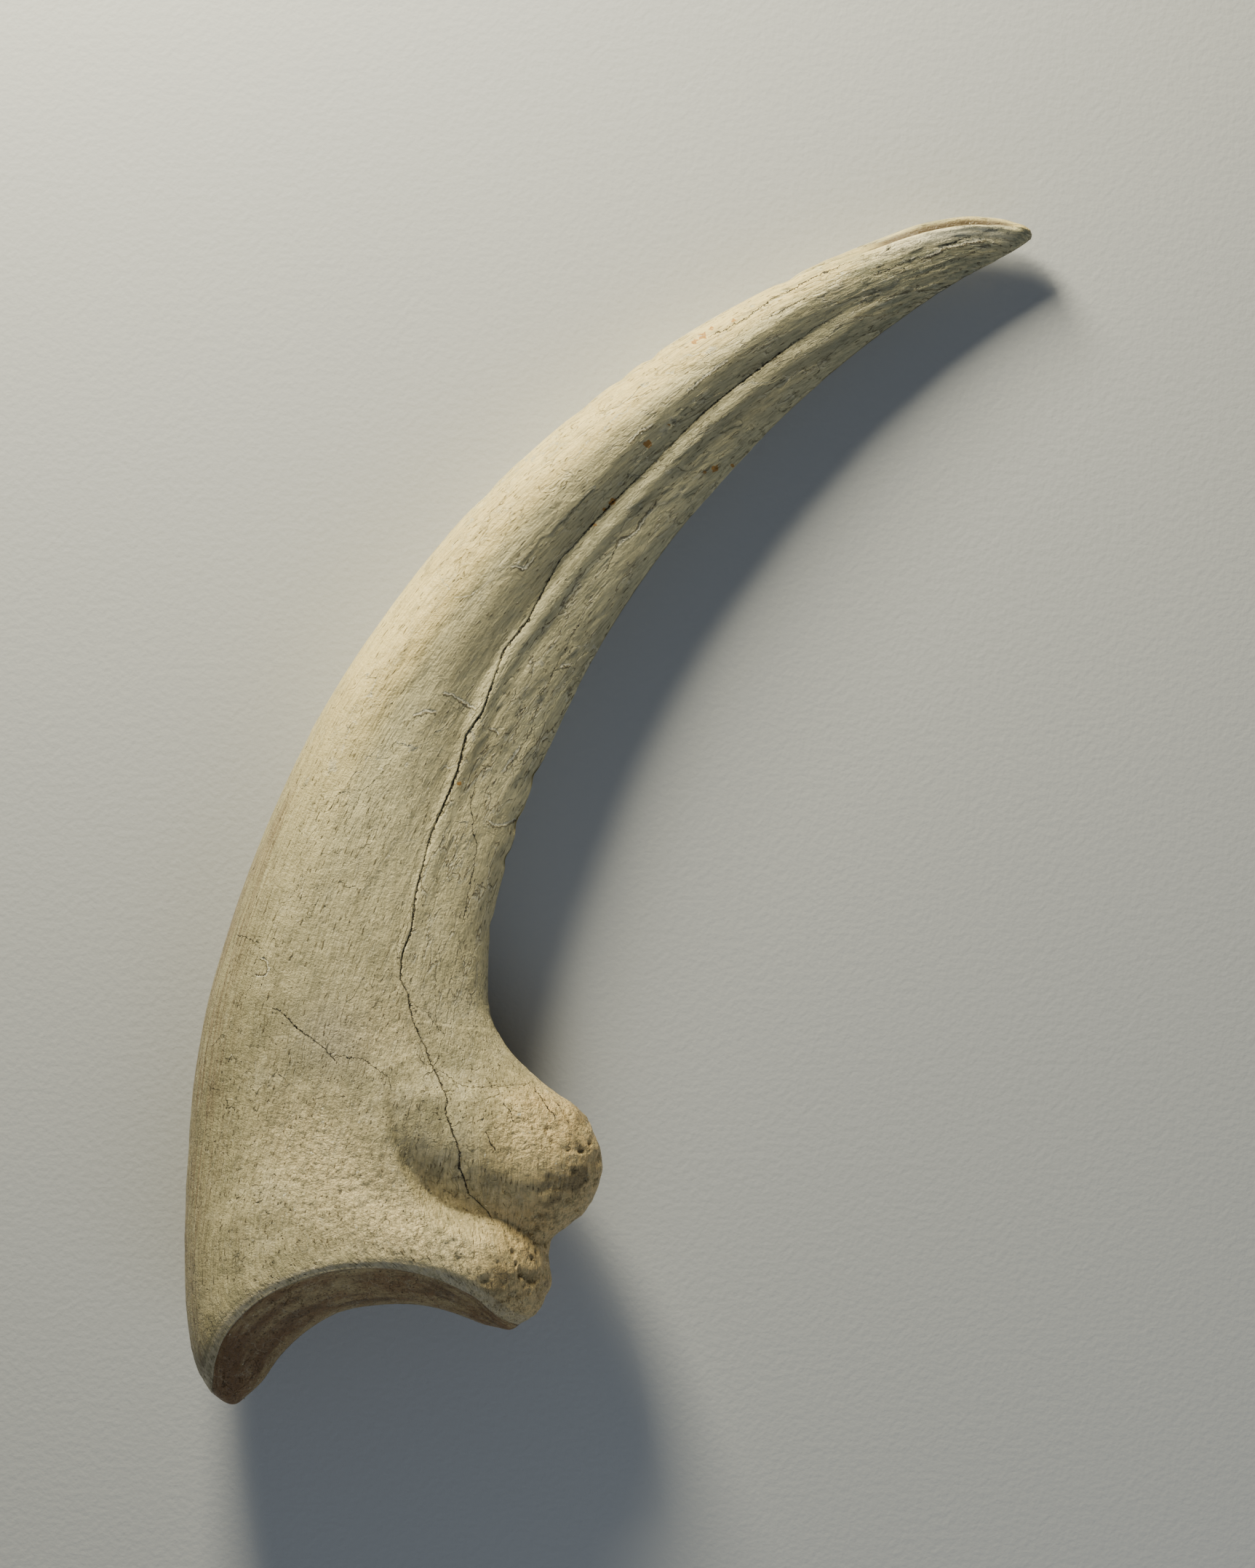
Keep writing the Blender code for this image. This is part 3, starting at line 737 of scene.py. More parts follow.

# %% [markdown]
# ## Nicks and the split tip
#
# Along both edges small pieces have chipped away, and the lip of the joint has a few
# larger cavities. The tip has split open along its back, so that two lips show, one
# behind the other, with brown mineral between them. The near lip is raised a little at
# its edge, and a broader band of it is painted pale, as a highlight.

# %% nicks and split
NICKS = (
    ((-11.5, 102.5), 1.3, 0.7), ((-14.8, 95.2), 1.6, 0.5), ((-16.6, 89.2), 1.2, 0.5),
    ((-18.8, 78.1), 1.4, 0.4), ((28.9, 185.2), 1.6, 0.35), ((6.4, 172.3), 1.2, 0.4),
    ((1.5, 168.6), 1.5, 0.3), ((-21.0, 149.6), 2.2, 0.25), ((-5.0, 163.4), 2.0, 0.25),
    ((-9.0, 24.0), 1.0, 0.4), ((-9.6, 16.6), 0.9, 0.4),
    ((-2.2, 39.9), 1.0, 0.4),
)
CAVITIES = (
    ((-12.7, 20.6), 0.9, 1.0), ((-14.3, 21.4), 0.6, 0.6), ((-18.2, 16.8), 0.8, 0.6),
    ((-20.4, 20.9), 0.7, 0.6), ((-11.4, 17.6), 0.6, 0.6), ((-24.6, 24.6), 0.6, 0.4),
)
TIP_SPLIT = (
    (36.0, 188.2, 0.0), (42.0, 190.4, 0.5), (48.7, 192.8, 1.3), (54.0, 194.2, 1.7),
    (60.0, 194.9, 1.7), (64.6, 194.6, 1.2), (68.0, 193.7, 0.0),
)
SPLIT_WIDTH = 0.85
LIP_HEIGHT = 0.14
LIP_OFF = 1.3
LIP_WIDTH = 0.5
LIP_HIGHLIGHT_OFF = 2.0
LIP_HIGHLIGHT_WIDTH = 1.3

nicked = sum(deep * spot(place, radius) for place, radius, deep in NICKS)
cavities = near * sum(deep * spot(place, radius) for place, radius, deep in CAVITIES)
split_value, split_left = beside_path(flat, TIP_SPLIT, 6)
split = split_value[..., 0] * np.exp(-((split_left / SPLIT_WIDTH) ** 6)) * near
lip = split_value[..., 0] * np.exp(-(((split_left + LIP_OFF) / LIP_WIDTH) ** 2)) * near
# painted highlight: a pale band on the near lip
lip_highlight = split_value[..., 0] * np.exp(-(((split_left + LIP_HIGHLIGHT_OFF) / LIP_HIGHLIGHT_WIDTH) ** 2)) * near
print("split at most", split.max().round(2), "mm deep")

# %% [markdown]
# ## Putting the relief on
#
# The hollow, the swelling and the rim change the height. All the rest moves points
# along their normals: out for what stands up, in for what is worn away. First the whole
# surface goes in by a hair, so that what stands up stays inside the frame's box.

# %% the whole surface
TIP_SIDESTEP = -3.0
SKIN = 0.16
FACE_CALM = 0.25
SMOOTH_FROM = 218


def outward(points):
    """Unit normals of rings of points, from the steps along them and around them."""
    along = np.gradient(points, axis=0)
    around = np.roll(points, -1, axis=1) - np.roll(points, 1, axis=1)
    normal = np.cross(around, along)
    return normal / np.maximum(np.linalg.norm(normal, axis=-1, keepdims=True), 1e-9)


lean = TIP_SIDESTEP * (station.clip(0) / TIP) ** 2
raised = height + np.sign(height) * (pressed - rim_roll)
rings = np.concatenate((flat, (raised + lean)[..., None]), -1)
worn = (groove - ridge + trough) * side_strength + split + nicked + crease + cracks + cavities
worn += LONG_CRACK_DEEP * long_crack + plate_gap + pits
raising = plates + sheets * (1 - 0.6 * rough) + lumps + fine + waves + tip_ribs + LIP_HEIGHT * lip
calm = np.where(on_face, FACE_CALM, 1.0)
closing = 1 - fade(station, SMOOTH_FROM, TIP)
rings += outward(rings) * (raising * calm * closing - SKIN - worn * ~on_face)[..., None]
print("relief from", (raising - worn).min().round(2), "to", (raising - worn).max().round(2))

# %% [markdown]
# ## Laying it down
#
# The bone rests on its side, tipped a little: its tip down and its back edge down. The
# same turn and the same shift as the frame's solid put it in place, and where it
# touches the surface it is worn flat by a hair.

# %% turned, and set in the frame's box
REST_PITCH = math.radians(-3.09)
REST_ROLL = math.radians(-0.67)
WORN_FLAT = 0.4


def rest_turn():
    """The turn from the claw's own plane to the way it lies: pitch, then roll."""
    cp, sp = math.cos(REST_PITCH), math.sin(REST_PITCH)
    cr, sr = math.cos(REST_ROLL), math.sin(REST_ROLL)
    pitch = np.array(((1, 0, 0), (0, cp, -sp), (0, sp, cp)))
    roll = np.array(((cr, 0, sr), (0, 1, 0), (-sr, 0, cr)))
    return roll @ pitch


turn = rest_turn()
frame_low, frame_high = (np.array(corner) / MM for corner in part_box("claw"))
lying = rings @ turn.T
low, high = lying.reshape(-1, 3).min(0), lying.reshape(-1, 3).max(0)
shift = (frame_low + frame_high) / 2 - (low + high) / 2
shift[2] = -low[2] - WORN_FLAT
lying += shift
lying[..., 2] = lying[..., 2].clip(0)
print("size, mm:", np.ptp(lying.reshape(-1, 3), axis=0).round(1),
      "frame:", (frame_high - frame_low).round(1))

# %% [markdown]
# ## The mesh
#
# Each four neighbours of the grid make a face. The last row is a single place at the
# tip, so its points are joined, and faces that are left with fewer than three corners
# are dropped. Two triangles there still lie back to back on the same three points. The
# first row runs out along the keel and back. Its two sides follow the same line, but
# their points don't coincide, so that seam stays open, as a slit of up to a quarter of
# a millimetre. What the material needs to know goes with the points as attributes.

# %% stains, and the attributes of the surface
RUST_SPOTS = (
    ((15.0, 175.3), 0.8), ((6.1, 157.4), 0.8), ((0.6, 147.8), 0.7), ((-0.7, 146.4), 0.5),
    ((17.2, 153.7), 0.7), ((20.2, 154.2), 0.5), ((-24.7, 101.8), 0.5),
    ((13.6, 174.4), 0.5), ((16.4, 176.6), 0.5), ((20.0, 177.9), 0.5),
    ((15.6, 153.0), 0.5), ((-22.6, 151.5), 0.6), ((9.6, 160.4), 0.4), ((-2.4, 143.8), 0.4),
)
SAME_PLACE = 0.000002
GROOVE_DARKEST, HOLLOW_DARKEST, PIT_DARKEST, FULL_SPLIT = 3.0, 10.0, 0.4, 1.7

rust = sum(spot(place, radius) for place, radius in RUST_SPOTS) * near
# darker in proportion to the depth of the groove, the hollow, the split, and the pits and cavities
darker_when_deep = groove / GROOVE_DARKEST + hollow / HOLLOW_DARKEST + split / FULL_SPLIT
darker_when_deep = (darker_when_deep + (pits + cavities) / PIT_DARKEST) * ~on_face
back_streaks = (1 - fade(across, 0.02, 0.16)) * hump(station, 4, 70, 16)
# painted shade: the back edge of the base darker where it turns from the lamp, partly the bone's own
# olive
edge_shade = (1 - fade(across, 0.02, 0.26)) * (1 - fade(station, 62, 104))
grey_patch = spot((-45.0, 60.5), 6.0) * near
# painted light: the crest, which faces the lamp, is tinted brighter and warmer
lit_crest_mask = hump(across, 0.05, 0.22, 0.12) * fade(station, 60, 104) * near
# painted shade: the inner flank, turned from the lamp, is tinted darker and greyer
shaded_flank = fade(across, 0.36, 0.50) * fade(station, 80, 126) * near
attributes = {
    "crack_offset": crack_offset,
    "crack_open": crack_open,
    "joint_face": fade(-station, 0.0, 0.5),
    "face_depth": (-station / FACE_SPAN).clip(0, 1),
    "rim_band": rim_band,
    "rust": rust.clip(0, 1),
    "darker_when_deep": darker_when_deep.clip(0, 1),
    "spongy": spongy.clip(0, 1),
    "golden": (golden * ~on_face).clip(0, 1),
    "edge_shade": (edge_shade * ~on_face).clip(0, 1),
    "grey_patch": grey_patch,
    "lit_crest": lit_crest_mask,
    "shaded_flank": shaded_flank,
    "edge_offset": edge_offset,
    "edge_open": edge_open,
    "flaky": flaky.clip(0, 1),
    "plate": plate_number * (flaky > 0.05),
    "sheet": sheet_noise,
    "back_streaks": back_streaks,
    "split": (split / FULL_SPLIT).clip(0, 1),
    # the painted highlight band on the near lip
    "lip": (lip_highlight / FULL_SPLIT).clip(0, 1),
}


def grid_quads(rows, around):
    """Corner numbers of the quads between neighbouring rings, closed around."""
    row = np.arange(rows - 1)[:, None] * around
    here = np.arange(around)[None]
    after = (here + 1) % around
    corners = (row + here, row + around + here, row + around + after, row + after)
    return np.stack(corners, -1).reshape(-1, 4)


def skinned(points, name):
    """A mesh over rings of points, open at the first, with coinciding points joined."""
    rows, around = points.shape[:2]
    places, first, joined = np.unique(
        (points.reshape(-1, 3) / SAME_PLACE).round().astype(np.int64),
        axis=0, return_index=True, return_inverse=True,
    )
    quads = joined.reshape(-1)[grid_quads(rows, around)]
    kept = [list(dict.fromkeys(quad)) for quad in quads.tolist()]
    kept = [face for face in kept if len(face) > 2]
    mesh = bpy.data.meshes.new(name)
    mesh.from_pydata(points.reshape(-1, 3)[first].tolist(), [], kept)
    return mesh, first


def dressed(mesh, first):
    """Writes the attributes, read at the grid point that each vertex came from."""
    for name, values in attributes.items():
        layer = mesh.attributes.new(name, "FLOAT", "POINT")
        layer.data.foreach_set("value", values.reshape(-1)[first].astype(np.float32))
    layer = mesh.attributes.new("grain", "FLOAT_VECTOR", "POINT")
    layer.data.foreach_set("vector", grain.reshape(-1, 3)[first].ravel().astype(np.float32))


mesh, first = skinned(lying * MM, "fossil_claw_bone")
dressed(mesh, first)
mesh.shade_smooth()
bone = bpy.data.objects.new("fossil_claw_bone", mesh)
bpy.context.scene.collection.objects.link(bone)
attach(bone, "root")
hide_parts("claw")
print("faces:", len(mesh.polygons), "triangles:", sum(len(p.vertices) - 2 for p in mesh.polygons))

# %% [markdown]
# ## Finishes from nodes
#
# The material is put together from small node groups, such as streaks along the grain
# and open pores. Each has named inputs, so it can be used at more than one size. Short
# helpers keep the making of nodes readable.

# %% node helpers


def put(tree, kind, inputs=(), **settings):
    """Adds a node; an input is given a value, or linked when it is given a socket."""
    node = tree.nodes.new(kind)
    for name, value in settings.items():
        setattr(node, name, value)
    for name, value in dict(inputs).items():
        if isinstance(value, bpy.types.NodeSocket):
            tree.links.new(value, node.inputs[name])
        else:
            node.inputs[name].default_value = value
    return node


def sum_of(tree, operation, a, b=0.0, c=0.0):
    """One step of arithmetic on numbers or sockets; only MULTIPLY_ADD reads the third."""
    return put(tree, "ShaderNodeMath", {0: a, 1: b, 2: c}, operation=operation).outputs[0]


def between(tree, value, low, high, start=0.0, end=1.0):
    """Turns low to high into start to end with an even S, held outside them."""
    inputs = {"Value": value, "From Min": low, "From Max": high,
              "To Min": start, "To Max": end}
    node = put(tree, "ShaderNodeMapRange", inputs, interpolation_type="SMOOTHSTEP")
    return node.outputs["Result"]


def painted(tree, amount, under, over, blend="MIX"):
    """One colour over another by an amount."""
    inputs = {0: amount, 6: under, 7: over}
    node = put(tree, "ShaderNodeMix", inputs, data_type="RGBA", blend_type=blend)
    return node.outputs[2]


def new_group(name, inputs, output):
    """An empty node group with the inputs that are named and one number as output."""
    group = bpy.data.node_groups.new(name, "ShaderNodeTree")
    for socket, kind in inputs.items():
        group.interface.new_socket(socket, in_out="INPUT", socket_type=kind)
    group.interface.new_socket(output, in_out="OUTPUT", socket_type="NodeSocketFloat")
    return group, put(group, "NodeGroupInput").outputs


def use(tree, group, *values):
    """Places a node group, with values for its inputs in order; returns its output."""
    return put(tree, "ShaderNodeGroup", enumerate(values), node_tree=group).outputs[0]


# %% [markdown]
# ## Streaks, pores, flakes and cracks
#
# Five patterns, each a node group. Streaks are noise in grain coordinates, divided by
# the width and length that a streak should have. Pores are the middles of scattered
# cells, stretched the same way. Flakes are whole cells, some gone and the others each
# at a level of its own, and hairlines are the seams between such cells. A crack's line
# is dark where the distance to the crack is small. Noise bends every one of them,
# because nothing that grew or broke has a ruler's edge.

# %% five node groups
VECTOR = "NodeSocketVector"
NUMBER = "NodeSocketFloat"
SIZES = {"Grain": VECTOR, "Width": NUMBER, "Length": NUMBER}


def scaled_grain(group, sockets):
    """Grain coordinates over the width and length that the group is given."""
    across_step = sum_of(group, "DIVIDE", 1.0, sockets["Width"])
    along_step = sum_of(group, "DIVIDE", 1.0, sockets["Length"])
    steps = put(group, "ShaderNodeCombineXYZ", {0: across_step, 1: along_step, 2: across_step})
    scaled = put(group, "ShaderNodeVectorMath", {0: sockets["Grain"], 1: steps.outputs[0]},
                 operation="MULTIPLY")
    return scaled.outputs[0]


def bent_cells(group, vector, scale, detail, feature="F1"):
    """Scattered cells whose borders are bent by noise, and each cell's random colour."""
    bend = put(group, "ShaderNodeTexNoise", {"Vector": vector, "Scale": scale, "Detail": detail})
    bent = put(group, "ShaderNodeVectorMath", {0: vector, 1: bend.outputs["Color"]}, operation="ADD")
    cells = put(group, "ShaderNodeTexVoronoi", {"Vector": bent.outputs[0], "Scale": 1.0},
                feature=feature)
    if feature != "F1":
        return cells.outputs["Distance"], None
    random = put(group, "ShaderNodeSeparateColor", {"Color": cells.outputs["Color"]})
    return cells.outputs["Distance"], random.outputs


def make_streaks():
    """Soft streaks along the grain, 0 to 1."""
    group, sockets = new_group("streaks along the grain", {**SIZES, "Detail": NUMBER}, "Streak")
    field = put(group, "ShaderNodeTexNoise", {
        "Vector": scaled_grain(group, sockets), "Scale": 1.0,
        "Detail": sockets["Detail"], "Roughness": 0.6,
    })
    put(group, "NodeGroupOutput", {"Streak": field.outputs["Fac"]})
    return group


def make_pores():
    """Small openings: 1 in a pore, 0 on the bone. A pore is at most Amount of its cell."""
    group, sockets = new_group("open pores", {**SIZES, "Amount": NUMBER}, "Pore")
    distance, random = bent_cells(group, scaled_grain(group, sockets), 1.7, 2.0)
    size = sum_of(group, "MULTIPLY", sockets["Amount"], random["Red"])
    pore = between(group, distance, sum_of(group, "MULTIPLY", size, 0.5), size, 1.0, 0.0)
    put(group, "NodeGroupOutput", {"Pore": pore})
    return group


def make_flakes():
    """Thin chips in the skin: each cell has a level of its own, and Gone of them none."""
    group, sockets = new_group("flakes", {**SIZES, "Gone": NUMBER}, "Level")
    _, random = bent_cells(group, scaled_grain(group, sockets), 2.6, 3.0)
    left = sum_of(group, "GREATER_THAN", random["Green"], sockets["Gone"])
    level = sum_of(group, "MULTIPLY_ADD", random["Blue"], 0.5, 0.5)
    put(group, "NodeGroupOutput", {"Level": sum_of(group, "MULTIPLY", level, left)})
    return group


def make_hairlines():
    """Hair cracks between long thin plates: 1 on a line, 0 on the plates."""
    group, sockets = new_group("hairlines", {**SIZES, "Thin": NUMBER}, "Line")
    vector = scaled_grain(group, sockets)
    distance, _ = bent_cells(group, vector, 2.2, 3.0, "DISTANCE_TO_EDGE")
    patchy = put(group, "ShaderNodeTexNoise", {"Vector": vector, "Scale": 0.9, "Detail": 1.0})
    line = between(group, distance, 0.0, sockets["Thin"], 1.0, 0.0)
    shown = between(group, patchy.outputs["Fac"], 0.45, 0.56)
    put(group, "NodeGroupOutput", {"Line": sum_of(group, "MULTIPLY", line, shown)})
    return group


def make_crack_line():
    """The line of a crack, from the distance to it and how open it is."""
    inputs = {"Grain": VECTOR, "Offset": NUMBER, "Open": NUMBER, "Half Width": NUMBER}
    group, sockets = new_group("crack line", inputs, "Crack")
    uneven = put(group, "ShaderNodeTexNoise",
                 {"Vector": sockets["Grain"], "Scale": 1.3, "Detail": 3.0, "Roughness": 0.7})
    shift = sum_of(group, "MULTIPLY_ADD", uneven.outputs["Fac"], 1.1, -0.55)
    away = sum_of(group, "ABSOLUTE", sum_of(group, "ADD", sockets["Offset"], shift))
    wide = sum_of(group, "MULTIPLY", sockets["Half Width"], sockets["Open"])
    wide = sum_of(group, "MAXIMUM", wide, 0.02)
    line = between(group, away, sum_of(group, "MULTIPLY", wide, 0.3), wide, 1.0, 0.0)
    shown = between(group, sockets["Open"], 0.05, 0.45)
    put(group, "NodeGroupOutput", {"Crack": sum_of(group, "MULTIPLY", line, shown)})
    return group


streaks, pores, flakes = make_streaks(), make_pores(), make_flakes()
hairlines, crack_line = make_hairlines(), make_crack_line()
print("node groups:", [group.name for group in bpy.data.node_groups])

# %% [markdown]
# ## Where the finish gets its patterns
#
# Fossil bone is stone that kept the look of bone. Its skin is cream where the light
# and the cleaning reached it, tan and mottled at the joint end, and grey and streaked
# at the tip. Soil has stayed in every pore and crack, rust in a few spots, and red
# brown stains inside the joint. Each of these is a stain that follows some pattern at
# some place. So the patterns and the places are made first, each under a name, and
# the stains can then be written as a table.

# %% patterns by name: group, coordinates, width and length in mm, and the last input
PATTERNS = {
    "broad": (streaks, "grain", 9.0, 22.0, 3.0),
    "long streak": (streaks, "grain", 1.3, 17.0, 4.0),
    "thin streak": (streaks, "grain", 0.5, 13.0, 3.0),
    "fibre": (streaks, "grain", 0.34, 3.6, 3.0),
    "mottle": (streaks, "grain", 2.3, 2.9, 4.0),
    "tip streak": (streaks, "grain", 0.9, 7.0, 5.0),
    "arc": (streaks, "grain", 9.0, 2.2, 6.0),
    "smear": (streaks, "grain", 5.0, 4.0, 6.0),
    "pore": (pores, "grain", 0.5, 1.9, 0.35),
    "big pore": (pores, "grain", 1.6, 3.4, 0.15),
    "pinprick": (pores, "here", 1.25, 1.25, 0.20),
    "flake": (flakes, "grain", 2.4, 6.5, 0.24),
    "small flake": (flakes, "grain", 0.9, 2.2, 0.30),
    "crumb": (flakes, "here", 1.5, 1.5, 0.35),
    "hairline": (hairlines, "grain", 2.4, 9.0, 0.045),
    "lit hairline": (hairlines, "lit side", 2.4, 9.0, 0.045),
}
NOISES = {
    "grit": (0.85, 5.0, 0.72), "cloud": (0.17, 5.0, 0.62), "knobs": (0.70, 5.0, 0.62),
    "fine grit": (2.6, 3.0, 0.6), "ragged": (1.3, 5.0, 0.6),
}
# how far the painted highlight beside each hairline is moved from it
LIT_SIDE = (-0.28, 0.30, 0.0)


def attribute(tree, name, output="Fac"):
    """Reads one of the surface's attributes."""
    return put(tree, "ShaderNodeAttribute", attribute_name=name).outputs[output]


def times(tree, *values):
    """The product of numbers or sockets."""
    product = values[0]
    for value in values[1:]:
        product = sum_of(tree, "MULTIPLY", product, value)
    return product


def surface_of(tree):
    """The attributes, the coordinates and the plain patterns, each under its name."""
    at = {name: attribute(tree, name) for name in attributes}
    at["grain"] = attribute(tree, "grain", "Vector")
    at["across"], at["along"], _ = put(tree, "ShaderNodeSeparateXYZ", {0: at["grain"]}).outputs
    at["lit side"] = put(tree, "ShaderNodeVectorMath", {0: at["grain"], 1: LIT_SIDE}).outputs[0]
    place = put(tree, "ShaderNodeTexCoord").outputs["Object"]
    here = put(tree, "ShaderNodeVectorMath", {0: place, "Scale": 1 / MM}, operation="SCALE")
    at["here"] = here.outputs[0]
    for name, (group, where, *sizes) in PATTERNS.items():
        at[name] = use(tree, group, at[where], *sizes)
    for name, (scale, detail, roughness) in NOISES.items():
        inputs = {"Vector": at["here"], "Scale": scale, "Detail": detail, "Roughness": roughness}
        at[name] = put(tree, "ShaderNodeTexNoise", inputs).outputs["Fac"]
    return at


# %% [markdown]
# ## Places, lines and edges
#
# Some patterns need a little more. The tan of the base and the grey of the tip come in
# along the claw. Every hair crack gets a painted highlight on its lit side: the same
# lines again, moved a little away from the lamp and painted pale. The thin sheets break
# off along a coast, where the broad noise that lifts them in the mesh, made ragged by
# grit, passes a level, and a painted highlight runs along it. Small specks are painted
# white as glints, more of them where hardener was brushed on.

# %% places, lines and edges
PLACES = {
    "base": ("along", 88.0, 44.0), "tip": ("along", 168.0, 204.0),
    "face left": ("across", 24.0, 8.0), "heel side": ("across", 42.0, 54.0),
    "heel end": ("along", 54.0, 42.0), "blade": ("along", 62.0, 104.0, 1.0, 1.6),
    "scaling": ("broad", 0.42, 0.60, 0.20, 1.0), "cracked inside": ("flaky", 0.1, 0.5),
    "cracked blade": ("along", 96.0, 185.0, 0.25, 0.85),
    "broken": ("mottle", 0.46, 0.56), "past the base": ("along", 70.0, 90.0),
}
LINES = {
    "crack": ("crack_offset", 0.0, "crack_open", 0.22),
    # a painted highlight on each chipped edge, and a line of painted shade a little beside it
    "lit edge": ("edge_offset", 0.0, "edge_open", 0.26),
    "shaded edge": ("edge_offset", 0.32, "edge_open", 0.24),
}
COASTS = {"low sheet": 0.115, "high sheet": 0.355}
COAST_STEP, COAST_RAGGED = 0.010, 0.10
COAST_WIDE, COAST_CORE = 0.016, 0.004
HAIR_STRENGTH, LIT_STRENGTH, PRICK_STRENGTH = 0.8, 0.6, 0.8
GLINT_SIZE, GLINTS, GOLDEN_GLINTS = 1.9, 0.09, 0.16
RAGGED_RUST = 1.8
WAVY = 0.10


def add_places(tree, at):
    """Parts of the claw, the lines of cracks, painted highlight and shade lines along chips, and the
    coasts of the sheets with their painted highlight.
    """
    for name, (source, *ends) in PLACES.items():
        at[name] = between(tree, at[source], *ends)
    for name, (offset, aside, openness, half_width) in LINES.items():
        away = sum_of(tree, "ADD", at[offset], aside)
        at[name] = use(tree, crack_line, at["here"], away, at[openness], half_width)
    at["heel"] = times(tree, at["heel side"], at["heel end"])
    at["lumpy"] = sum_of(tree, "MAXIMUM", at["golden"], at["spongy"])
    at["wavy depth"] = sum_of(tree, "MULTIPLY_ADD", at["smear"], WAVY, at["face_depth"])
    uneven = sum_of(tree, "MULTIPLY_ADD", at["grit"], COAST_RAGGED, -COAST_RAGGED / 2)
    sheet = sum_of(tree, "ADD", at["sheet"], uneven)
    for name, level in COASTS.items():
        at[name] = between(tree, sheet, level - COAST_STEP, level + COAST_STEP)
    # painted highlight: a pale line along the low coast of the sheets
    away = sum_of(tree, "ABSOLUTE", sum_of(tree, "SUBTRACT", sheet, COASTS["low sheet"]))
    coast = between(tree, away, COAST_WIDE, COAST_CORE)
    at["coast"] = times(tree, coast, at["broken"], at["past the base"])


def add_marks(tree, at):
    """Hairlines with a painted highlight on their lit sides, pinpricks, painted glints, and ragged
    rust.
    """
    cracked = sum_of(tree, "MAXIMUM", at["cracked inside"], at["cracked blade"])
    at["hairline"] = times(tree, at["hairline"], cracked, HAIR_STRENGTH)
    clear = sum_of(tree, "SUBTRACT", 1.0, at["hairline"])
    at["lit line"] = times(tree, at["lit hairline"], cracked, clear, LIT_STRENGTH)
    porous = sum_of(tree, "MAXIMUM", at["base"], at["spongy"])
    at["pinprick"] = times(tree, at["pinprick"], porous, PRICK_STRENGTH)
    # painted glints: small white specks, more of them on the golden places
    amount = sum_of(tree, "MULTIPLY_ADD", at["golden"], GOLDEN_GLINTS, GLINTS)
    at["glint"] = use(tree, pores, at["here"], GLINT_SIZE, GLINT_SIZE, amount)
    ragged = sum_of(tree, "MULTIPLY_ADD", at["ragged"], RAGGED_RUST, -RAGGED_RUST / 2)
    at["rusty"] = sum_of(tree, "ADD", at["rust"], ragged)


# %% [markdown]
# ## Stains
#
# A stain has a colour, a strength, a place, and a pattern that it follows from one
# value to another. The tables are in the order in which the stains came: the bone's own
# cream, the tan of the base, the gold where hardener was brushed on, made brighter as a
# painted highlight, a painted shade along the back edge of the base, the joint face, and
# last the soil, a darkening that grows with depth, the rust, and the painted highlights
# and shade lines of the edges and glints. A tint only multiplies: it paints light on
# the crest, warmer and brighter, and shade on the flank below it, greyer and darker.

# %% colours and stains
CREAM = (0.68, 0.585, 0.335, 1)
PALE_CREAM = (0.80, 0.70, 0.41, 1)
GREY_BONE = (0.44, 0.40, 0.255, 1)
TAN = (0.43, 0.365, 0.215, 1)
OLIVE = (0.27, 0.24, 0.14, 1)
PALE_FILM = (0.60, 0.53, 0.35, 1)
GOLD_AND_HIGHLIGHT = (0.95, 0.755, 0.42, 1)
GREY_PATCH = (0.43, 0.375, 0.27, 1)
TIP_GREY = (0.36, 0.345, 0.225, 1)
EDGE_BROWN = (0.25, 0.185, 0.11, 1)
# painted highlight: the pale of lit hair-crack sides, the near lip, the sheet coasts, glints and
# chipped edges
PAINTED_HIGHLIGHT = (0.86, 0.80, 0.60, 1)
SPLIT_BROWN = (0.085, 0.055, 0.03, 1)
HEEL_OCHRE = (0.78, 0.585, 0.30, 1)
HEEL_DARK = (0.20, 0.15, 0.08, 1)
RIM_PALE = (0.57, 0.49, 0.335, 1)
FACE_PALE = (0.48, 0.36, 0.175, 1)
FACE_BROWN = (0.33, 0.22, 0.10, 1)
FACE_DARK = (0.13, 0.08, 0.036, 1)
FACE_RUST = (0.17, 0.085, 0.028, 1)
RED_BROWN = (0.27, 0.145, 0.055, 1)
RUST = (0.40, 0.19, 0.03, 1)
# soil in pores and hair cracks, also the darkening with depth and the painted shade beside chipped
# edges
SOIL_AND_SHADE = (0.10, 0.072, 0.035, 1)
CRACK_DARK = (0.035, 0.026, 0.014, 1)
BLACK = (0.0, 0.0, 0.0, 1)
BLADE_STAINS = (
    (PALE_CREAM, 1.0, None, "broad", 0.35, 0.68),
    (GREY_BONE, 0.40, None, "mottle", 0.50, 0.72),
    (GREY_BONE, 0.35, None, "long streak", 0.52, 0.72),
    (TAN, 0.45, None, "grit", 0.56, 0.72),
)
BASE_STAINS = (
    (CREAM, 0.80, None, "long streak", 0.42, 0.66),
    (OLIVE, 0.70, None, "cloud", 0.48, 0.60),
    (PALE_FILM, 0.60, None, "cloud", 0.47, 0.37),
    (OLIVE, 0.75, None, "grit", 0.50, 0.66),
    (PALE_FILM, 0.80, None, "grit", 0.46, 0.32),
)
BASE_STRENGTH, TIP_STRENGTH = 0.9, 0.85
GOLDEN_STAINS = (
    (GREY_PATCH, 0.70, "grey_patch"),
    # gold of the hardener, made bright as a painted highlight
    (GOLD_AND_HIGHLIGHT, 1.0, "golden", "grit", 0.62, 0.44, 0.30),
)
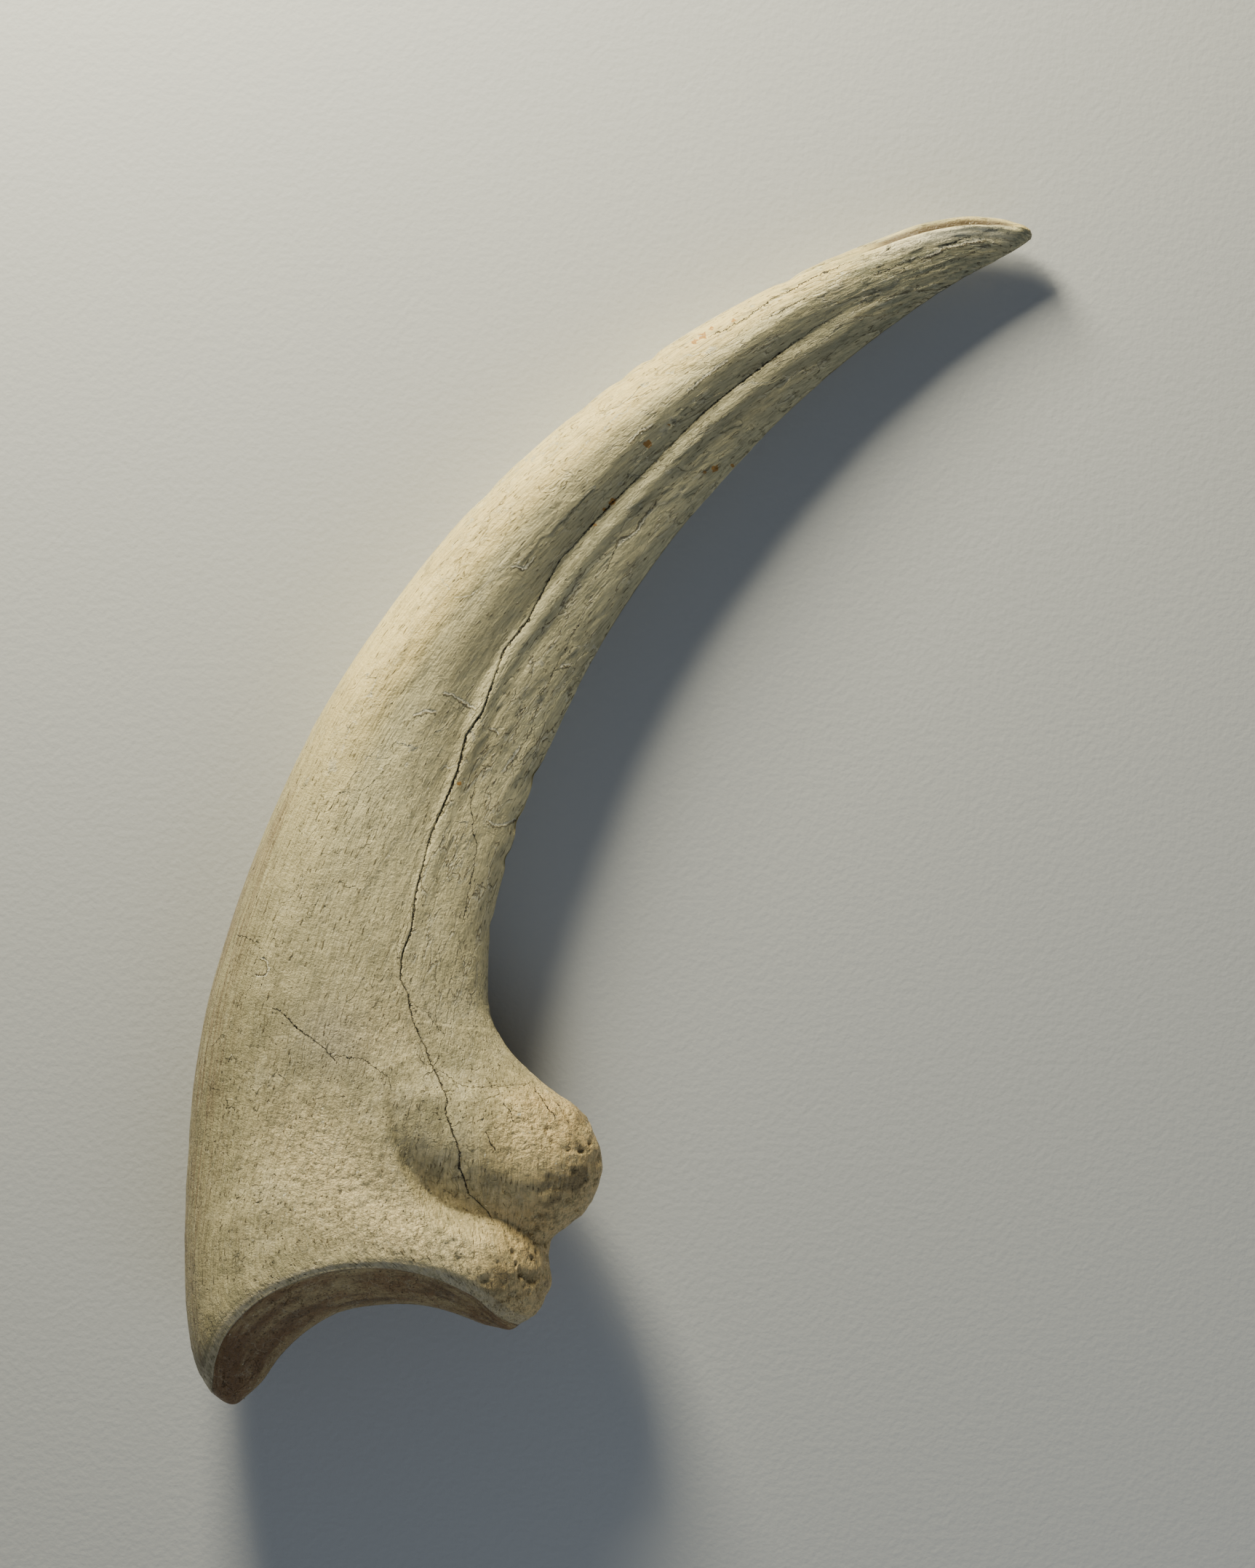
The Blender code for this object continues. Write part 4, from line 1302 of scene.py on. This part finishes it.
EDGE_STAINS = (
    (HEEL_OCHRE, 1.0, "spongy", "grit", 0.60, 0.42, 0.35),
    (HEEL_DARK, 0.65, "spongy", "cloud", 0.53, 0.62),
    # painted shade along the back edge, partly the olive of the bone
    (OLIVE, 0.62, "edge_shade"),
    (EDGE_BROWN, 0.85, "back_streaks", "thin streak", 0.46, 0.56),
    (RIM_PALE, 0.90, "rim_band", "grit", 0.60, 0.44, 0.15),
)
FACE_STAINS = (
    (FACE_BROWN, 1.0, None, "arc", 0.32, 0.62),
    (FACE_DARK, 0.75, None, "arc", 0.50, 0.66),
    (RED_BROWN, 0.85, None, "smear", 0.44, 0.64),
    (FACE_DARK, 0.50, None, "grit", 0.48, 0.66),
    (FACE_RUST, 0.90, "face left", "arc", 0.36, 0.56, 0.35),
    (FACE_PALE, 0.60, None, "face_depth", 0.82, 1.0),
    (FACE_DARK, 0.80, None, "wavy depth", 0.14, 0.10),
)
# painted light on the crest and painted shade on the flank; the heel is only made warmer
TINTS = (
    ((1.10, 1.0, 0.775, 1), "lit_crest"), ((0.85, 0.88, 0.93, 1), "shaded_flank"),
    ((1.03, 0.98, 0.88, 1), "heel"),
)
LAST_STAINS = (
    (BLACK, 0.28, None, "fibre", 0.56, 0.36),
    # darker with depth in groove, hollow, split and pits; soil in the pores
    (SOIL_AND_SHADE, 0.40, "darker_when_deep"), (SOIL_AND_SHADE, 0.65, "pore"), (SOIL_AND_SHADE, 0.60, "big pore"),
    # the lit line is a painted highlight beside each hairline
    (SOIL_AND_SHADE, 1.0, "pinprick"), (SOIL_AND_SHADE, 1.0, "hairline"), (PAINTED_HIGHLIGHT, 1.0, "lit line"),
    (RUST, 0.95, None, "rusty", 0.45, 0.60),
    # painted highlight on the near lip
    (PAINTED_HIGHLIGHT, 1.0, "lip", "tip streak", 0.40, 0.56, 0.40),
    (SPLIT_BROWN, 0.90, None, "split", 0.20, 0.55),
    # the coast line and the glints are painted highlights
    (CRACK_DARK, 1.0, "crack"), (PAINTED_HIGHLIGHT, 0.75, "coast"), (PAINTED_HIGHLIGHT, 0.85, "glint"),
    # painted shade, then painted highlight, along the chipped edges
    (SOIL_AND_SHADE, 0.70, "shaded edge"), (PAINTED_HIGHLIGHT, 0.90, "lit edge"),
)


def stained(tree, at, colour, stains):
    """Paints stains over a colour, in order.

    A stain's strength grows from its least, at the first value of its pattern, to the
    most at the second. With no pattern it is even. It is multiplied by its place.
    """
    for over, most, place, *follows in stains:
        amount = most
        if follows:
            pattern, start, full, *least = follows
            amount = between(tree, at[pattern], start, full, *(least or (0.0,)), most)
        if place:
            amount = times(tree, at[place], amount)
        colour = painted(tree, amount, colour, over)
    return colour


def bone_colour(tree, at):
    """All the stains, from the cream of the blade to the fresh edges."""
    colour = stained(tree, at, CREAM, BLADE_STAINS)
    base = stained(tree, at, TAN, BASE_STAINS)
    colour = painted(tree, times(tree, at["base"], BASE_STRENGTH), colour, base)
    colour = stained(tree, at, colour, GOLDEN_STAINS)
    greyed = painted(tree, between(tree, at["tip streak"], 0.40, 0.58), TIP_GREY, CREAM)
    colour = painted(tree, times(tree, at["tip"], TIP_STRENGTH), colour, greyed)
    colour = stained(tree, at, colour, EDGE_STAINS)
    face = stained(tree, at, FACE_PALE, FACE_STAINS)
    colour = painted(tree, at["joint_face"], colour, face)
    for tint, place in TINTS:
        colour = painted(tree, at[place], colour, tint, "MULTIPLY")
    return stained(tree, at, colour, LAST_STAINS)


# %% [markdown]
# ## The bone's finish
#
# The fine relief is a sum of the same patterns, each with its height in millimetres:
# flakes and fibres stand up, pores and cracks go in. It is dull, with a faint shine
# where hardener was brushed on, so the roughness follows the grit and falls a little
# on the golden places.

# %% relief, gloss and the bone material
RELIEF = (
    (0.20, "low sheet"), (0.18, "high sheet"), (0.22, "flake", "scaling", "blade"),
    (0.14, "small flake", "scaling", "blade"), (0.11, "fibre", "blade"), (0.10, "mottle"),
    (0.12, "plate"), (1.15, "knobs", "lumpy"), (0.34, "crumb", "spongy", "lumpy"),
    (0.30, "grit"), (0.12, "fine grit"), (0.16, "lit edge"), (-0.16, "pore"),
    (-0.20, "big pore"), (-0.30, "crack"), (-0.16, "pinprick"), (-0.16, "hairline"),
    (-0.12, "shaded edge"),
)
GLOSSY, DULL = 0.32, 0.60
GOLDEN_GLOSS = -0.08


def bone_material():
    """Cream fossil bone, with its stains, its fine relief and an uneven gloss."""
    material = bpy.data.materials.new("fossil_bone")
    material.use_nodes = True
    tree = material.node_tree
    finish = tree.nodes["Principled BSDF"]
    at = surface_of(tree)
    add_places(tree, at)
    add_marks(tree, at)
    tree.links.new(bone_colour(tree, at), finish.inputs["Base Color"])

    relief = 0.0
    for height, *names in RELIEF:
        part = times(tree, *(at[name] for name in names))
        relief = sum_of(tree, "MULTIPLY_ADD", part, height, relief)
    bump = put(tree, "ShaderNodeBump", {"Height": relief, "Strength": 1.0, "Distance": MM})
    tree.links.new(bump.outputs[0], finish.inputs["Normal"])

    gloss = between(tree, at["grit"], 0.35, 0.62, GLOSSY, DULL)
    gloss = sum_of(tree, "MULTIPLY_ADD", at["golden"], GOLDEN_GLOSS, gloss)
    tree.links.new(gloss, finish.inputs["Roughness"])
    finish.inputs["Specular IOR Level"].default_value = 0.5
    return material


mesh.materials.append(bone_material())
print("bone material nodes:", len(mesh.materials[0].node_tree.nodes))

# %% [markdown]
# ## Floor, light and camera
#
# The bone lies on a plain pale sheet. One soft lamp stands low beyond the tip, a
# little to the left, so its light rakes along the bone and draws every groove and
# flake. A broad weak lamp on the other side and a dim room, both cool, keep the shaded
# side from going black. The camera looks down, square to the plane that the claw
# curves in.

# %% floor
FLOOR_SIZE = 3.0
FLOOR_GREY = (0.55, 0.557, 0.59, 1)


def floor_material():
    """A dull pale grey with the fine tooth of paper."""
    material = bpy.data.materials.new("plain_floor")
    material.use_nodes = True
    tree = material.node_tree
    finish = tree.nodes["Principled BSDF"]
    here = put(tree, "ShaderNodeTexCoord").outputs["Object"]
    tooth = put(tree, "ShaderNodeTexNoise", {"Vector": here, "Scale": 900.0, "Detail": 3.0})
    bump = put(tree, "ShaderNodeBump", {
        "Height": tooth.outputs["Fac"], "Strength": 0.25, "Distance": 0.0003})
    tree.links.new(bump.outputs[0], finish.inputs["Normal"])
    finish.inputs["Base Color"].default_value = FLOOR_GREY
    finish.inputs["Roughness"].default_value = 0.9
    finish.inputs["Specular IOR Level"].default_value = 0.1
    return material


half = FLOOR_SIZE / 2
floor_mesh = bpy.data.meshes.new("floor")
floor_mesh.from_pydata(
    [(-half, -half, 0), (half, -half, 0), (half, half, 0), (-half, half, 0)],
    [], [(0, 1, 2, 3)],
)
floor_mesh.materials.append(floor_material())
floor = bpy.data.objects.new("floor", floor_mesh)
bpy.context.scene.collection.objects.link(floor)

# %% light and camera
from mathutils import Matrix, Vector

VIEW_CENTRE = (2.7, 101.64, 0.0)
VIEW_HALF_HEIGHT = 129.36
LENS = 120.0
SENSOR = 36.0
KEY_FROM = (-0.30, 0.84, 0.35)
KEY_DISTANCE = 0.44
KEY_SIZE = 0.12
KEY_POWER = 5.4
KEY_COLOUR = (1.0, 0.945, 0.68)
ROOM_COLOUR = (0.88, 0.96, 1.0, 1)
ROOM_STRENGTH = 0.085
FILL_FROM = (0.30, -0.80, 0.50)
FILL_DISTANCE = 0.60
FILL_SIZE = 0.40
FILL_POWER = 0.8
FILL_COLOUR = (0.82, 0.93, 1.0)


def in_frame(place):
    """A place in the claw's own plane, in millimetres, turned and set in the frame."""
    return Vector((turn @ np.array(place) + shift) * MM)


def add_camera():
    """A camera above the claw's plane, as far off as the view's height asks."""
    data = bpy.data.cameras.new("camera")
    data.lens = LENS
    data.sensor_fit = "VERTICAL"
    data.sensor_height = SENSOR
    data.sensor_width = SENSOR
    away = VIEW_HALF_HEIGHT * LENS / (SENSOR / 2)
    right, up, back = (Vector(turn[:, k]) for k in range(3))
    camera = bpy.data.objects.new("camera", data)
    place = in_frame(VIEW_CENTRE) + back * away * MM
    camera.matrix_world = Matrix.Translation(place) @ Matrix((right, up, back)).transposed().to_4x4()
    bpy.context.scene.collection.objects.link(camera)
    bpy.context.scene.camera = camera
    return camera


def add_lamp(name, direction, distance, size, power, colour):
    """A square soft lamp that far from the middle of the bone, turned towards it."""
    data = bpy.data.lights.new(name, "AREA")
    data.size = size
    data.energy = power
    data.color = colour
    lamp = bpy.data.objects.new(name, data)
    direction = Vector(turn @ np.array(direction)).normalized()
    lamp.location = in_frame(VIEW_CENTRE) + direction * distance
    lamp.rotation_euler = direction.to_track_quat("Z", "Y").to_euler()
    bpy.context.scene.collection.objects.link(lamp)
    return lamp


add_camera()
add_lamp("key", KEY_FROM, KEY_DISTANCE, KEY_SIZE, KEY_POWER, KEY_COLOUR)
add_lamp("fill", FILL_FROM, FILL_DISTANCE, FILL_SIZE, FILL_POWER, FILL_COLOUR)
world = bpy.data.worlds.new("room")
world.use_nodes = True
world.node_tree.nodes["Background"].inputs["Color"].default_value = ROOM_COLOUR
world.node_tree.nodes["Background"].inputs["Strength"].default_value = ROOM_STRENGTH
bpy.context.scene.world = world
